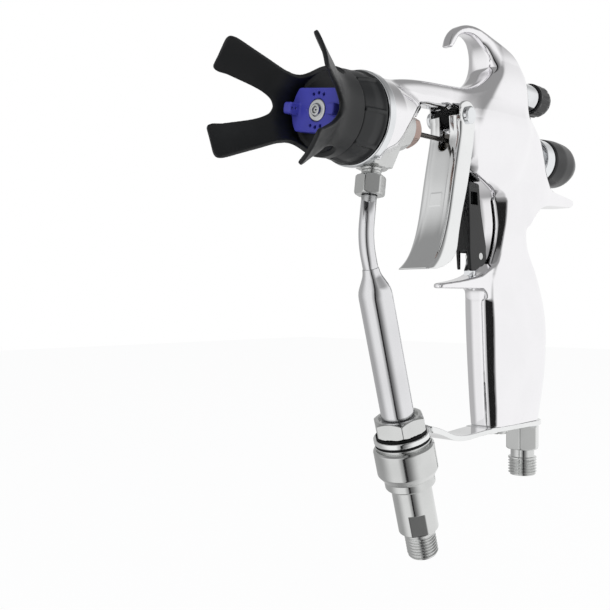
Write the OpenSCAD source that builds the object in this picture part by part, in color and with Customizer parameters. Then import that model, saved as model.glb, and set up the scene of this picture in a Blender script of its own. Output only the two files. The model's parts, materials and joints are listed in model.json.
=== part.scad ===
// Air-assisted airless spray gun with a fan-tip guard, a hanging hook, an inline fluid
// filter and a swivel fluid inlet. Millimetres. The origin is the centre of the air
// inlet's end face, +Z is up, and the gun sprays towards -X.

/* [Overall layout] */
// Height of the spray axis above the end of the air inlet
axis_z = 150; // [148:0.5:154]
// Height of the pattern valve's axis above the end of the air inlet
pattern_z = 179; // [178:0.5:180]
// X of the rear face of the retaining nut
nut_rear_x = -124.9; // [-126:0.1:-124.4]
// Turn of the air cap and its guard about the spray axis, in degrees
cap_turn = 9.6; // [0:0.1:20]

/* [Gun body] */
// Thickness of the hook and of the bar that carries the head
hook_w = 9.4; // [8:0.1:10]
// Radius of the round spray head
head_r = 16.6; // [16:0.1:17]
// Width across the flat front of the grip
grip_front_w = 11; // [9:0.5:13]

/* [Inlets] */
// Major radius of the air inlet's G1/4 thread
thread_r = 6.58; // [6.58:0.01:6.6]
// Major radius of the fluid inlet's 1/2-20 UNF thread
fluid_thread_r = 6.35; // [6.3:0.01:6.35]
// Width across the flats of the air nipple
nipple_af = 14; // [13.8:0.1:14.2]
// Lean of the filter tube from the vertical, in degrees
filter_lean = 16.5; // [15.5:0.5:17]
// Forward lean of the fluid section's inlet boss, in degrees
boss_lean = 8; // [7:0.5:9]

/* [Tip guard] */
// Radius of the guard's ears at their tips
ear_tip_r = 30.1; // [29.6:0.1:30.4]
// Radius of the guard's base ring
guard_base_r = 16.2; // [16:0.1:16.4]
// Wall thickness of the guard
guard_wall = 2; // [1.8:0.1:2.2]
// Half of the angle that each ear takes up, in degrees
ear_half_angle = 47.6; // [46.6:0.2:48]

/* [Trigger] */
// X of the trigger's pivot
pivot_x = -60.5; // [-61:0.1:-60]
// Height of the trigger's pivot
pivot_z = 160; // [159.5:0.1:160.5]
// Width over the trigger's two flanges
trigger_w = 14; // [13.6:0.1:14.4]
// Thickness of the trigger's sheet
trigger_wall = 1.4; // [1.2:0.1:1.6]

/* [Safety lever] */
// X of the lever's pin
lever_x = -42.4; // [-42.6:0.1:-42.2]
// Height of the lever's pin
lever_z = 102; // [101.8:0.1:102.2]
// Width over the lever's two cheeks
lever_w = 7.2; // [7:0.1:7.4]

/* [Fits] */
// Radial clearance of a running fit
run_gap = 0.06; // [0.02:0.01:0.1]

/* [Hidden] */
$fn = 64;

head_x = -120.9;                 // front face of the body's round head
ring_r = 17.9;                   // flange ring behind the retaining nut
spigot_r = 14.2;                 // threaded spigot that the retaining nut runs on
bar_x = -144.2;                  // front face of the bar across the air cap
horn_x = -149;                   // front face of the air cap's horns
tip_hole_r = 4.05;               // hole in the air cap for the spray tip
cap_r = 12.4;                    // air cap, inside the guard's base ring
nut_front_x = -136.2;            // front face of the retaining nut
tip_x = -145.4;                  // front face of the spray tip
seat_bore_r = 5;                 // bore that holds the fluid seat
needle_r = 1;                    // fluid needle
stem_r = 3.4;                    // hollow stem of the air valve
chamber_r = 9;                   // bore of the air valve chamber
chamber_x = -30;                 // front end of the air valve chamber
valve_front_x = -36;             // front end of the space ahead of the air valve's seat
passage_r = 1.8;                 // air passage along the bar
collar_x = 5;                    // rear face of the body round the lower collar
knob_r = 11.6;                   // fluid knob
tail_x = 14;                     // front face of the needle's tail
pattern_collar_r = 6.6;          // collar of the pattern valve
knob_travel = 3;                 // stroke that each knob gives its spindle
tube_r = 3;                      // fluid tube
bend_r = 30;                     // bend of the fluid tube
filter_r = 6.6;                  // filter housing
lug_t = 2.6;                     // post that carries the safety lever
pin_r = 1.5;                     // pin of the safety lever
nipple_neck_r = 5.5;             // neck and spigot of the air nipple

// Points of an arc round [x, y], from angle a0 to a1
function arc(x, y, r, a0, a1, n = 12) =
  [for (i = [0:n]) let (a = a0 + (a1 - a0) * i / n) [x + r * cos(a), y + r * sin(a)]];

// Points of a smooth curve through the given points, m steps to each span
function smooth(p, m = 4) = let (e = len(p) - 1) concat(
  [for (i = [0:e - 1], j = [0:m - 1]) let (
      a = p[max(i - 1, 0)], b = p[i], c = p[i + 1], d = p[min(i + 2, e)], t = j / m)
    0.5 * (2 * b + (c - a) * t + (2 * a - 5 * b + 4 * c - d) * t * t
      + (3 * b - 3 * c + d - a) * t * t * t)],
  [p[e]]);

// Value of a smooth curve of [position, value] rows at position s
function along(rows, s) = let (
    n = len(rows) - 1,
    k = max([for (i = [0:n - 1]) rows[i][0] <= s ? i : 0]),
    a = rows[max(k - 1, 0)], b = rows[k], c = rows[k + 1], d = rows[min(k + 2, n)],
    h = c[0] - b[0], t = (s - b[0]) / h,
    mb = (c[1] - a[1]) / (c[0] - a[0]) * h, mc = (d[1] - b[1]) / (d[0] - b[0]) * h)
  b[1] * (2 * t * t * t - 3 * t * t + 1) + mb * (t * t * t - 2 * t * t + t)
    + c[1] * (3 * t * t - 2 * t * t * t) + mc * (t * t * t - t * t);

// Skin through rings of equal point counts, closed at both ends
module skin(rings) {
  n = len(rings[0]);
  m = len(rings);
  polyhedron(
    points = [for (r = rings) each r],
    faces = concat(
      [[for (i = [0:n - 1]) i]],
      [for (k = [0:m - 2], i = [0:n - 1]) let (a = k * n, j = (i + 1) % n)
        each [[a + i, a + n + i, a + j], [a + j, a + n + i, a + n + j]]],
      [[for (i = [n - 1:-1:0]) (m - 1) * n + i]]));
}

// A side view's outline in X and Z, w wide across Y
module side(w) rotate([90, 0, 0]) linear_extrude(w, center = true) children();

// A round bar along +X on the spray axis, or at another height
module bar(x, l, r, z = axis_z) translate([x, 0, z]) rotate([0, 90, 0]) cylinder(h = l, r = r);

// A cone along +X from radius r1 to r2
module taper(x, l, r1, r2, z = axis_z)
  translate([x, 0, z]) rotate([0, 90, 0]) cylinder(h = l, r1 = r1, r2 = r2);

// A hexagon prism along +X, af across its flats
module hex_bar(x, l, af, z = axis_z)
  translate([x, 0, z]) rotate([0, 90, 0]) cylinder(h = l, r = af / sqrt(3), $fn = 6);

// A solid of revolution round the spray axis, from [x, r] points
module turned(points, z = axis_z)
  translate([0, 0, z]) rotate([0, 90, 0]) rotate([0, 0, 180])
    rotate_extrude() polygon([for (p = points) [p[1], p[0]]]);

// A pin across the gun, along Y, from y0 to y1
module cross_pin(x, z, y0, y1, r) translate([x, y1, z]) rotate([90, 0, 0])
  cylinder(h = y1 - y0, r = r);

// A coil spring's turns round +X, as one swept wire
module coil(x, l, r, wire, turns, z = axis_z, steps = 10, sides = 6) {
  count = turns * steps;
  skin([for (k = [0:count]) let (
      a = 360 * k / steps,
      rise = l * k / count)
    [for (s = [0:sides - 1]) let (
        b = 360 * s / sides,
        q = r + wire * cos(b))
      [x + rise + wire * sin(b), q * sin(a), z + q * cos(a)]]]);
}

// ---- Gun body ------------------------------------------------------------------

// Front edge, rear edge, half width and half front width of the body at a height
body_front = [[20, -34.8], [26.3, -35.2], [50, -36.8], [75, -37.8], [88, -39.4], [92.5, -45],
  [95, -39], [99, -33], [106, -28.3], [112, -27], [119, -28.4], [127, -32.8],
  [133, -39], [137, -46.5], [141, -50], [150, -51], [160, -50], [170, -44], [179, -38],
  [188, -33], [196, -31]];
body_rear = [[20, 3.5], [26.3, 5], [40, 9.6], [61, 12.6], [76, 11.4], [88, 7.5],
  [98, 2.4], [106, -2.6], [114, -4.2], [120, -3.6], [126, 1], [131, 8.6], [137, 11.9],
  [143, 10.6], [147, 9.2], [152, 7.4], [157, 5], [163, 0.8], [170, -4.6], [179, -9.8],
  [188, -16.8], [196, -25]];
body_half = [[20, 8.3], [26.3, 8.6], [45, 9.6], [62, 10], [80, 9.6], [98, 8.8],
  [114, 8.6], [126, 9.6], [137, 11.6], [150, 12.4], [160, 11.4], [170, 9],
  [179, 8.4], [188, 6.6], [196, 4.2]];

// One level of the body: flat front with rounded corners, full sides, round back
function body_level(z) = let (
    f = along(body_front, z), b = along(body_rear, z), w = along(body_half, z),
    h = min(grip_front_w / 2, w * 0.6), l = b - f, rear = min(l * 0.5, w * 1.25))
  [for (p = concat(
      smooth([[f, -h * 0.5], [f + 0.25, -h], [f + l * 0.12, -h - (w - h) * 0.45],
        [b - rear - l * 0.18, -w * 0.985], [b - rear, -w]], 3),
      [for (i = [1:9]) let (a = -90 + 18 * i) [b - rear + rear * cos(a), w * sin(a)]],
      smooth([[b - rear, w], [b - rear - l * 0.18, w * 0.985],
        [f + l * 0.12, h + (w - h) * 0.45], [f + 0.25, h], [f, h * 0.5]], 3)))
    [p[0], p[1], z]];

body_levels = [26.3, 34, 42, 50, 59, 68, 77, 84, 89, 92, 94, 96, 99, 103, 108, 113, 118,
  123, 127, 131, 134, 137, 140, 144, 148, 152, 156, 160, 164, 168, 172, 176, 180, 185,
  190];

// Outline of the bar, the pivot lug and the hanging hook
hook_outer = [[-14.8, 184.5], [-21.3, 190.5], [-27.3, 194.8], [-34.2, 198], [-39, 200],
  [-46, 201.4], [-54.9, 200.2], [-60, 197.2], [-63.2, 193.4], [-64.8, 189.2]];
hook_inner = [[-62.1, 189.4], [-60.1, 191.8], [-58.3, 194.3], [-55.6, 196.2], [-51.6, 197.2],
  [-46.8, 197.1], [-42.6, 195.5], [-38.4, 192.6], [-34.9, 189.2], [-33.2, 185.5],
  [-34.2, 182], [-38, 178.6], [-44.2, 175.8], [-54.4, 173.6], [-62.8, 172.8],
  [-76, 171.8], [-97, 169.4], [-112, 166]];
bar_under = [[-112, 137.4], [-106.5, 139.8], [-102, 143.2], [-97.4, 148.6],
  [-93.2, 154.4], [-90, 158.6], [-86, 160.8], [-78, 161.8], [-69, 162.4]];

module bar_outline() polygon(concat(
  smooth(hook_outer, 3), smooth(hook_inner, 3), smooth(bar_under, 3),
  arc(pivot_x, pivot_z, 5, 160, 290, 8),
  [[-56, 154], [-56, 143], [-30, 140], [-20, 160]]));

// Half of the hook's width at a place along the gun: wide at the root, narrow at the tip
hook_half = [[-66, 2.2], [-60, 2.7], [-52, 3.9], [-44, 5.2], [-36, 6.1], [-14, 6.2]];
hook_foot = 176;                 // height above which the hook has its own width

module hanging_hook() intersection() {
  side(13) bar_outline();
  translate([0, 0, hook_foot]) linear_extrude(40) polygon(concat(
    smooth([for (p = hook_half) [p[0], -p[1]]], 3),
    smooth([for (i = [len(hook_half) - 1:-1:0]) hook_half[i]], 3)));
}

// Rest for the finger below the trigger, seen from the side and from above
module finger_rest() intersection() {
  side(24) polygon(concat(
    [[-30, 80], [-38.6, 80]],
    arc(-41, 85.4, 2.4, 0, 90, 5),
    [[-70.2, 87.8], [-70.9, 88.5], [-70.3, 89.8]],
    smooth([[-66, 90.3], [-58, 91.2], [-50, 92.5], [-44, 93.9], [-37, 97]], 3),
    [[-28, 100]]));
  linear_extrude(200) polygon(concat(
    arc(-68, 0, 2.9, 100, 260, 8),
    [[-60, -3.9], [-52, -4.8], [-44, -6], [-28, -5], [-28, 5], [-44, 6], [-52, 4.8],
      [-60, 3.9]]));
}

// Rest for the web of the hand, behind the body
module hand_rest() intersection() {
  side(24) polygon(concat(
    smooth([[0, 140], [8, 137], [16, 135.3], [28, 134.4], [41.2, 133.5]], 3),
    arc(41.4, 131.7, 1.8, 60, -60, 6),
    smooth([[39, 129.4], [26, 128.6], [12, 127.8], [2, 125.6], [-4, 121.4],
      [-8, 118]], 3),
    [[-14, 130]]));
  linear_extrude(200) polygon(concat(
    [[-14, -9], [6, -9.6], [20, -8.4]], arc(36.3, 0, 6.9, -60, 60, 10),
    [[20, 8.4], [6, 9.6], [-14, 9]]));
}

// The round head, cut away below its rear half where the fluid section hangs
module head() intersection() {
  turned([[head_x, 0], [head_x, head_r], [-113, head_r], [-104, head_r - 1.6],
    [-92, 11.4], [-84, 6], [-84, 0]]);
  side(40) polygon(concat(
    [[-84, 200], [-130, 200], [-130, 130], [-116, 130]],
    smooth(concat([[-115, 134.6]], bar_under), 3), [[-69, 200]]));
}

module gun_body() color("gainsboro") difference() {
  union() {
    skin([for (z = body_levels) body_level(z)]);
    side(hook_w) intersection() {
      bar_outline();
      translate([-120, 100]) square([120, hook_foot + 1 - 100]);
    }
    hanging_hook();
    head();
    finger_rest();
    hand_rest();
    // Neck between the bar's plate and the full body
    bar(-56, 12, 5.2);
  }
  // Fluid section, with a slot below for its inlet boss and room for its packing nut
  bar(head_x - 1, 28, 9);
  translate([head_x - 1, -6.4, 120]) cube([24, 12.8, 30]);
  bar(-96, 12, 7.2);
  // Air valve: stem guide, seat bore and chamber
  bar(-57, 30, stem_r + run_gap);
  bar(valve_front_x, 7, 5);
  bar(chamber_x, 50, chamber_r);
  // Spot faces of the two rear collars
  bar(collar_x, 12, 11);
  bar(-14, 14, pattern_collar_r + 0.05, pattern_z);
  // Drilling from the air valve up to the pattern valve
  translate([-33, 0, axis_z]) rotate([0, 18, 0]) cylinder(h = 28, r = 2.2);
  // Pattern valve
  bar(-34, 40, 5.2, pattern_z);
  bar(-36.8, 4, passage_r, pattern_z);
  // Passage from the pattern valve down and along the bar to the head
  translate([-35, 0, 172]) cylinder(h = pattern_z - 172, r = passage_r);
  translate([-35, 0, 172.5]) rotate([0, -97.2, 0]) cylinder(h = 90, r = passage_r);
  // Trigger pivot
  cross_pin(pivot_x, pivot_z, -12, 12, 2.5);
  // Air passage from the inlet up to the valve chamber
  translate([0, 0, 20]) cylinder(h = 34, r = nipple_neck_r + 0.1);
  translate([0, 0, 48]) rotate([0, -12.4, 0]) cylinder(h = 98, r = 3.6);
  // Bracket screw
  translate([-22, 0, 20]) cylinder(h = 22, r = 2);
  // Safety post
  translate([-44, 0, 87.4]) cylinder(h = 10, r = 1.6);
  // Flutes in the back of the grip
  for (z = [41, 61, 82], s = [-1, 1])
    translate([8, s * 9.6, z]) rotate([0, 90, s * 24]) cylinder(h = 14, r = 0.9, center = true);
}

// ---- Spray head ----------------------------------------------------------------

module head_ring() color("silver") turned([
  [nut_rear_x + 0.1, spigot_r], [nut_rear_x + 0.1, ring_r - 0.6], [nut_rear_x + 0.7, ring_r],
  [head_x - 0.8, ring_r], [head_x, ring_r - 0.8], [head_x, seat_bore_r + 4],
  [-123.5, seat_bore_r + 4], [-123.5, seat_bore_r], [-132, seat_bore_r], [-132, 8.4],
  [-134.4, 8.4], [-134.4, 10.4], [-132.2, 10.4], [-132.2, spigot_r]]);

// Frame of the fluid section's inlet boss: its +Z runs down the boss from the spray axis
boss_x = -111.07;
module in_boss() translate([boss_x, 0, axis_z]) rotate([0, 180 + boss_lean, 0]) children();
male_end = 22.2;                 // station of the boss's male end, down its axis

module fluid_section() color("silver") difference() {
  union() {
    bar(-123.4, 27.4, 8.9);
    side(12.6) polygon([[-120, axis_z], [-119.4, 133.6], [-108.4, 132.6], [-103, 141.2],
      [-96.4, 143.4], [-96, axis_z]]);
    in_boss() cylinder(h = 17.4, r = 6);
    in_boss() cylinder(h = male_end, r = 4);
  }
  bar(-124, 8, 5.05);
  bar(-118, 24, 2.6);
  bar(-101, 8, 4.2);
  in_boss() cylinder(h = male_end + 1, r = 2);
  in_boss() translate([0, 0, male_end - 1.4]) cylinder(h = 1.5, r1 = 2, r2 = 3.1);
}

module fluid_seat() color("dimgray") difference() {
  union() {
    bar(-133.4, 15.4, seat_bore_r - 0.05);
    taper(-134.4, 1, 3.6, 4.6);
  }
  bar(-135, 20, 0.7);
  taper(-131.6, 2.6, 0.7, 2.4);
  bar(-129, 12, 2.4);
}

module tip_seal() color("white") difference() {
  bar(-135.6, 1.2, 4.4);
  bar(-136, 2, 1.2);
}

// Everything that turns with the air cap is drawn upright in here
module in_cap() translate([0, 0, axis_z]) rotate([cap_turn, 0, 0])
  translate([0, 0, -axis_z]) children();

module spray_tip() color("lightgray") in_cap() difference() {
  turned([[-135.6, 0], [-135.6, 5.6], [-137.4, 5.6], [-137.4, tip_hole_r - 0.05],
    [bar_x - 0.2, tip_hole_r - 0.05], [bar_x - 0.2, 2.1], [tip_x, 2], [tip_x, 0]]);
  bar(-136, 6.2, 1);
  bar(-145, 10, 0.35);
  // Cat-eye slot across the orifice
  translate([tip_x, 0, axis_z]) rotate([0, 45, 0]) cube([1.2, 6, 1.2], center = true);
}

module air_cap() color("royalblue") in_cap() difference() {
  union() {
    turned([[-134.6, 5.65], [-134.6, cap_r], [-139.2, cap_r], [-140, cap_r - 1.2],
      [-140, tip_hole_r], [-137.4, tip_hole_r], [-137.4, 5.65]]);
    // Raised bar across the face, with round ends
    difference() {
      intersection() {
        bar(bar_x, -139.9 - bar_x, cap_r + 0.1);
        translate([bar_x - 1, -20, axis_z - 7.8]) cube([10, 40, 15.6]);
      }
      bar(bar_x - 1, 10, tip_hole_r);
    }
    // A horn at each end of the bar
    intersection() {
      bar(horn_x, bar_x + 0.1 - horn_x, cap_r - 0.1);
      for (s = [0, 1]) mirror([0, s, 0]) translate([horn_x, 8.4, axis_z - 2.1])
        cube([10, 6, 4.2]);
    }
  }
  // Three atomising ports above and three below the tip
  for (a = [-24, 0, 24], s = [0, 180])
    translate([0, 0, axis_z]) rotate([a + s, 0, 0]) translate([bar_x - 1, 0, 6])
      rotate([0, 90, 0]) cylinder(h = 10, r = 0.5);
  // Two pattern jets in each horn's inner face, leaning towards the spray
  for (s = [-1, 1], x = [-147.8, -146.2])
    translate([x, s * 8.8, axis_z]) rotate([s * 90, 0, 0]) rotate([0, -30, 0])
      cylinder(h = 3, r = 0.45, center = true);
}

module retaining_nut() color("#202224") difference() {
  turned([[nut_rear_x - 0.15, spigot_r + run_gap], [nut_rear_x - 0.15, 16.8], [nut_rear_x - 0.8, 17.4],
    [-131, 17.2], [nut_front_x + 0.6, 16.5], [nut_front_x, 15.9], [nut_front_x, 13.2],
    [nut_front_x + 1, 13.2], [nut_front_x + 1, spigot_r + run_gap]]);
  // Finger flutes
  for (a = [0:30:330]) translate([0, 0, axis_z]) rotate([a + 15, 0, 0])
    translate([nut_rear_x - 8.6, 0, 18.2]) rotate([0, 90, 0]) cylinder(h = 10, r = 1.8);
}

// Outer profile of the guard's flared shell, from the nut out to the tips of its ears
bell = [[-137, guard_base_r - 0.1], [-141, guard_base_r + 0.05], [-145, guard_base_r + 0.4],
  [-149.5, guard_base_r + 1.6], [-155, 20.9], [-160.5, 24.1], [-170.5, ear_tip_r]];
rim_x = -142;                    // edge of the base ring between the ears

module guard_shell() turned(concat(
  [[-133.4, cap_r + 0.15], [-133.4, spigot_r - 0.1], [nut_front_x + 1.1, spigot_r - 0.1],
    [nut_front_x + 1.1, 13.14], [nut_front_x - 0.3, 13.14],
    [nut_front_x - 0.3, guard_base_r - 0.6]],
  smooth(bell, 2),
  [[-171.3, ear_tip_r - 0.4], [-171.3, ear_tip_r - 1]],
  [for (i = [len(bell) - 2:-1:2]) [bell[i][0] - 0.4, bell[i][1] - guard_wall + 0.2]],
  [[-141.6, guard_base_r - guard_wall], [-140.4, cap_r + 0.15]]));

// A quarter of the guard's front view, from the crotch of the notch out round the
// ear's tip; the ear's other edge is a radial line
notch = [[17.4, 0], [17.9, 2.4], [18.9, 4.2], [20.3, 5.6], [22, 6.8], [23.7, 7.8],
  [25.6, 8.9]];
quarter = concat(smooth(notch, 3), arc(26.2, 10.9, 1.9, -60, 15, 5),
  arc(20.6, 18.2, 3, 35, 90 + ear_half_angle, 6),
  [[12, 12 * tan(ear_half_angle)], [12, 30]]);
// Points with each coordinate multiplied, in the given order or the reverse
function flip(p, k, back) = let (n = len(p) - 1)
  [for (i = [0:n]) let (q = p[back ? n - i : i]) [q[0] * k[0], q[1] * k[1]]];

// Wedge between two ears, in the front view
module between_ears() polygon([[0, 0], 60 * [cos(ear_half_angle), sin(ear_half_angle)],
  60 * [-cos(ear_half_angle), sin(ear_half_angle)]]);

module tip_guard() color("#2b2d30") in_cap() difference() {
  intersection() {
    guard_shell();
    translate([0, 0, axis_z]) rotate([90, 0, 90]) translate([0, 0, -180])
      linear_extrude(60) polygon(concat(
        flip(quarter, [1, 1], false), flip(quarter, [-1, 1], true),
        flip(quarter, [-1, -1], false), flip(quarter, [1, -1], true)));
  }
  for (turn = [0, 180])
    translate([-180, 0, axis_z]) rotate([turn, 0, 0]) rotate([90, 0, 90])
      linear_extrude(180 + rim_x) between_ears();
}

// ---- Fluid needle and air valve --------------------------------------------------

module packing_nut() color("rosybrown") difference() {
  union() {
    intersection() {
      hex_bar(-95.9, 7.2, 12);
      turned([[-95.9, 0], [-95.9, 6.9], [-91, 6.9], [-88.7, 5.2], [-88.7, 0]]);
    }
    bar(-99.6, 4, 4.1);
  }
  bar(-101, 14, needle_r + run_gap);
}

module needle_packing() color("ivory") difference() {
  bar(-100.9, 1.2, 4.1);
  bar(-102, 4, needle_r + run_gap);
}

module fluid_needle() color("silver") union() {
  bar(-126, 140, needle_r);
  taper(-129.6, 3.6, 0.3, needle_r);
  bar(-129, 6, 1.6);
}

module needle_collar() color("darkgoldenrod") difference() {
  union() {
    bar(-63.2, 1.4, 2.9);
    hex_bar(-61.8, 1.6, 5);
  }
  bar(-64, 5, needle_r);
}

module needle_tail() color("silver") difference() {
  union() {
    bar(tail_x, 2, 4.6);
    bar(tail_x + 2, 1.4, 2.2);
  }
  bar(tail_x - 1, 1, needle_r);
}

module needle_spring() color("gray") coil(tail_x + 2.5, 16.4, 3.7, 0.45, 7);

module air_valve_stem() color("khaki") difference() {
  union() {
    bar(-59.6, 33, stem_r);
    bar(-27, 2.4, 6.4);
    bar(-24.6, 2.4, 2.8);
  }
  bar(-61, 40, needle_r + run_gap);
}

module air_valve_seal() color("black") difference() {
  bar(chamber_x, 2.9, chamber_r - 0.05);
  bar(chamber_x - 1, 5, 4.6);
}

module air_valve_spring() color("gray") coil(-24, 22.6, 4.6, 0.55, 8);

module spring_housing() color("silver") difference() {
  union() {
    bar(0, 12, chamber_r - 0.05);
    turned([[collar_x, 0], [collar_x, 10.6], [11.8, 10.6], [12.4, 10], [12.4, 0]]);
    bar(12, 17, 8);
  }
  bar(-1, 10, needle_r + 0.4);
  bar(8, 22, 5.4);
}

module needle_stop() color("silver") union() {
  bar(tail_x + 3.4 + knob_travel + 0.1, 15, 2);
  bar(35, 1.6, 4.6);
}

module fluid_knob() color("#1d1f21") difference() {
  turned([[12.8, 0], [12.8, 10.2], [14, 11], [19, knob_r - 0.1], [26, knob_r],
    [31, 11.1], [35, 10], [38.4, 7.8], [40.6, 4.6], [41.2, 0]]);
  bar(12, 17.8, 8 + run_gap);
  bar(29, 4, 5.6);
  bar(32, 7.4, 5);
}

// ---- Pattern valve ---------------------------------------------------------------

module pattern_collar() color("silver") difference() {
  union() {
    bar(-20, 12, 5.1, pattern_z);
    turned([[-14, 0], [-14, pattern_collar_r - 0.8], [-13.2, pattern_collar_r],
      [2.6, pattern_collar_r], [3.4, pattern_collar_r - 0.8], [3.4, 0]], pattern_z);
    bar(3, 6, 4.6, pattern_z);
  }
  bar(-21, 30, 1.5 + run_gap, pattern_z);
  bar(-17, 6, 3, pattern_z);
}

module pattern_needle() color("silver") union() {
  bar(-33, 41, 1.5, pattern_z);
  taper(-36.6, 3.6, 0.4, 1.5, pattern_z);
  bar(-32, 2, 3.4, pattern_z);
  bar(8, 3, 1.5, pattern_z);
  bar(9.6, 1.4, 2.8, pattern_z);
}

module pattern_seal() color("black") difference() {
  bar(-16.6, 2, 2.95, pattern_z);
  bar(-17, 4, 1.5, pattern_z);
}

module pattern_knob() color("#1d1f21") difference() {
  turned([[3.8, 0], [3.8, 6.9], [4.4, 7.5], [12.4, 7.5], [14.9, 6.7], [16.4, 4.6],
    [16.6, 0]], pattern_z);
  bar(3, 6.4, 4.6 + run_gap, pattern_z);
  bar(9, 5.4, 3.4, pattern_z);
  for (a = [0:30:330]) translate([0, 0, pattern_z]) rotate([a, 0, 0])
    translate([5.4, 0, 8.4]) rotate([0, 90, 0]) cylinder(h = 9, r = 1.3);
}

// ---- Trigger ---------------------------------------------------------------------

// Front face from the top of the web down to the lip, and the flanges' rear edge
web_front = [[-65.2, 153.4], [-66.2, 148], [-68.2, 140], [-70.6, 130], [-72.8, 120.4],
  [-75, 112.8], [-77.7, 106.4], [-81.2, 101], [-84.4, 98], [-87.6, 95.9]];
flange_rear = [[-73, 98.6], [-69, 102.4], [-67.5, 107.4], [-66.4, 112.5], [-64, 120.6],
  [-61, 129.5], [-58.6, 138.5], [-56.2, 148]];

module trigger_side() polygon(concat(
  smooth(web_front, 4), [[-87, 95.2], [-83, 95.4], [-78, 96.4]],
  smooth(flange_rear, 3), arc(pivot_x, pivot_z, 6.2, -20, 200, 16)));

// Space between the flanges, behind the web
module trigger_hollow() polygon(concat(
  [for (p = smooth(web_front, 4)) [p[0] + trigger_wall, p[1] + 0.2]],
  [[-86.2, 90], [-50, 90], [-50, 170], [-75, 170], [-75, 154.2], [-64, 154.2]]));

module trigger() color("whitesmoke") difference() {
  union() {
    difference() {
      side(trigger_w) trigger_side();
      side(trigger_w - 2 * trigger_wall) trigger_hollow();
    }
    // Swell along the middle of the web's face
    side(trigger_w - 4) difference() {
      polygon(concat([for (p = smooth(web_front, 4)) [p[0] - 0.7, p[1]]],
        [for (i = [len(smooth(web_front, 4)) - 1:-1:0])
          smooth(web_front, 4)[i] + [0.6, 0]]));
      translate([-95, 90]) square([12, 9]);
    }
    // Tab that meets the safety lever
    side(5) polygon([[-72, 122], [-63.8, 123.4], [-63.8, 126.4], [-71, 127]]);
  }
  // Slot that the needle passes through
  translate([-70, -2.4, 144.6]) cube([10, 4.8, 20]);
  translate([-70, 0, 144.6]) rotate([0, 90, 0]) cylinder(h = 10, r = 2.4);
  // Clear of the pivot lug
  side(trigger_w - 2 * trigger_wall) translate([-75, 153.4]) square([20, 20]);
  cross_pin(pivot_x, pivot_z, -12, 12, 2.4 + run_gap);
}

module pivot_screw() color("silver") union() {
  cross_pin(pivot_x, pivot_z, -7.2, 7.2, 2.4);
  translate([pivot_x, -7.2, pivot_z]) rotate([90, 0, 0])
    rotate_extrude() polygon([[0, 0], [3.7, 0], [3.7, 2.6], [3, 3.3], [0, 3.3]]);
}

module pivot_nut() color("silver") translate([pivot_x, 10.2, pivot_z]) rotate([90, 0, 0])
  cylinder(h = 3, r = 3.7);

module pivot_washers() color("ivory") for (s = [-1, 1])
  translate([pivot_x, s * 5.1, pivot_z]) rotate([90, 0, 0]) difference() {
    cylinder(h = 0.8, r = 4, center = true);
    cylinder(h = 2, r = 2.4, center = true);
  }

// ---- Safety lever ----------------------------------------------------------------

module safety_post() color("silver") difference() {
  union() {
    side(lug_t) polygon(concat(
      [[-48.4, 93.6], [-44, 94.4], [-40.8, 96.2]], arc(lever_x, lever_z, 3.2, -20, 180, 12),
      [[-48.4, 95.6]]));
    translate([-44, 0, 87.6]) cylinder(h = 8, r = 1.6);
  }
  cross_pin(lever_x, lever_z, -3, 3, pin_r);
}

module safety_pin() color("silver") cross_pin(lever_x, lever_z, -3.5, 3.5, pin_r);

lever_front = [[-50.6, 96.4], [-51.4, 104], [-51.6, 112], [-52, 122], [-52.4, 131.6]];
lever_back = [[-43.6, 131.4], [-42.6, 124], [-40.4, 115], [-38, 106.4]];
module safety_lever() color("#151617") difference() {
  side(lever_w) polygon(concat(
    smooth(lever_front, 3), arc(-50.4, 132, 2, 180, 90, 4), arc(-45.2, 132, 1.6, 90, 10, 4),
    smooth(lever_back, 3), arc(lever_x, lever_z, 4.6, 20, -90, 8),
    [[-46.4, 95.6], [-49.6, 95.4]]));
  // Hollow between the cheeks, open to the rear and below
  side(lever_w - 2.4) polygon([[-49.8, 90], [-50, 112], [-50.6, 129], [-30, 129],
    [-30, 90]]);
  // Slot in the web for the post
  translate([-56, -1.9, 90]) cube([8, 3.8, 14]);
  // Window through the cheeks near the top
  side(12) polygon([[-50, 124.6], [-45.4, 124.6], [-46, 129.4], [-50, 129.4]]);
  cross_pin(lever_x, lever_z, -6, 6, pin_r + run_gap);
}

// ---- Air inlet, bracket and fluid inlet --------------------------------------------

module air_nipple() color("silver") difference() {
  union() {
    cylinder(h = 8.6, r = thread_r);
    cylinder(h = 12.4, r = nipple_neck_r);
    translate([0, 0, 12.3]) rotate([0, 0, 20])
      cylinder(h = 11.2, r = nipple_af / sqrt(3), $fn = 6);
    translate([0, 0, 20]) cylinder(h = 17, r = nipple_neck_r);
  }
  translate([0, 0, -1]) cylinder(h = 50, r = 3.6);
  translate([0, 0, -1]) cylinder(h = 2.4, r1 = 6, r2 = 3.6);
}

module inlet_washer() color("silver") difference() {
  translate([0, 0, 23.5]) cylinder(h = 0.6, r = 7.4);
  translate([0, 0, 23]) cylinder(h = 2, r = 5.55);
}

// Frame of the filter and fluid inlet, with +Z up their shared axis
filter_foot = [-79.1, -23.5];
module in_filter() translate([filter_foot[0], 0, filter_foot[1]])
  rotate([0, -filter_lean, 0]) children();

module tube_ring(t, h, r, r_in) in_filter() translate([0, 0, t]) difference() {
  cylinder(h = h, r = r);
  translate([0, 0, -1]) cylinder(h = h + 2, r = r_in);
}

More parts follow.
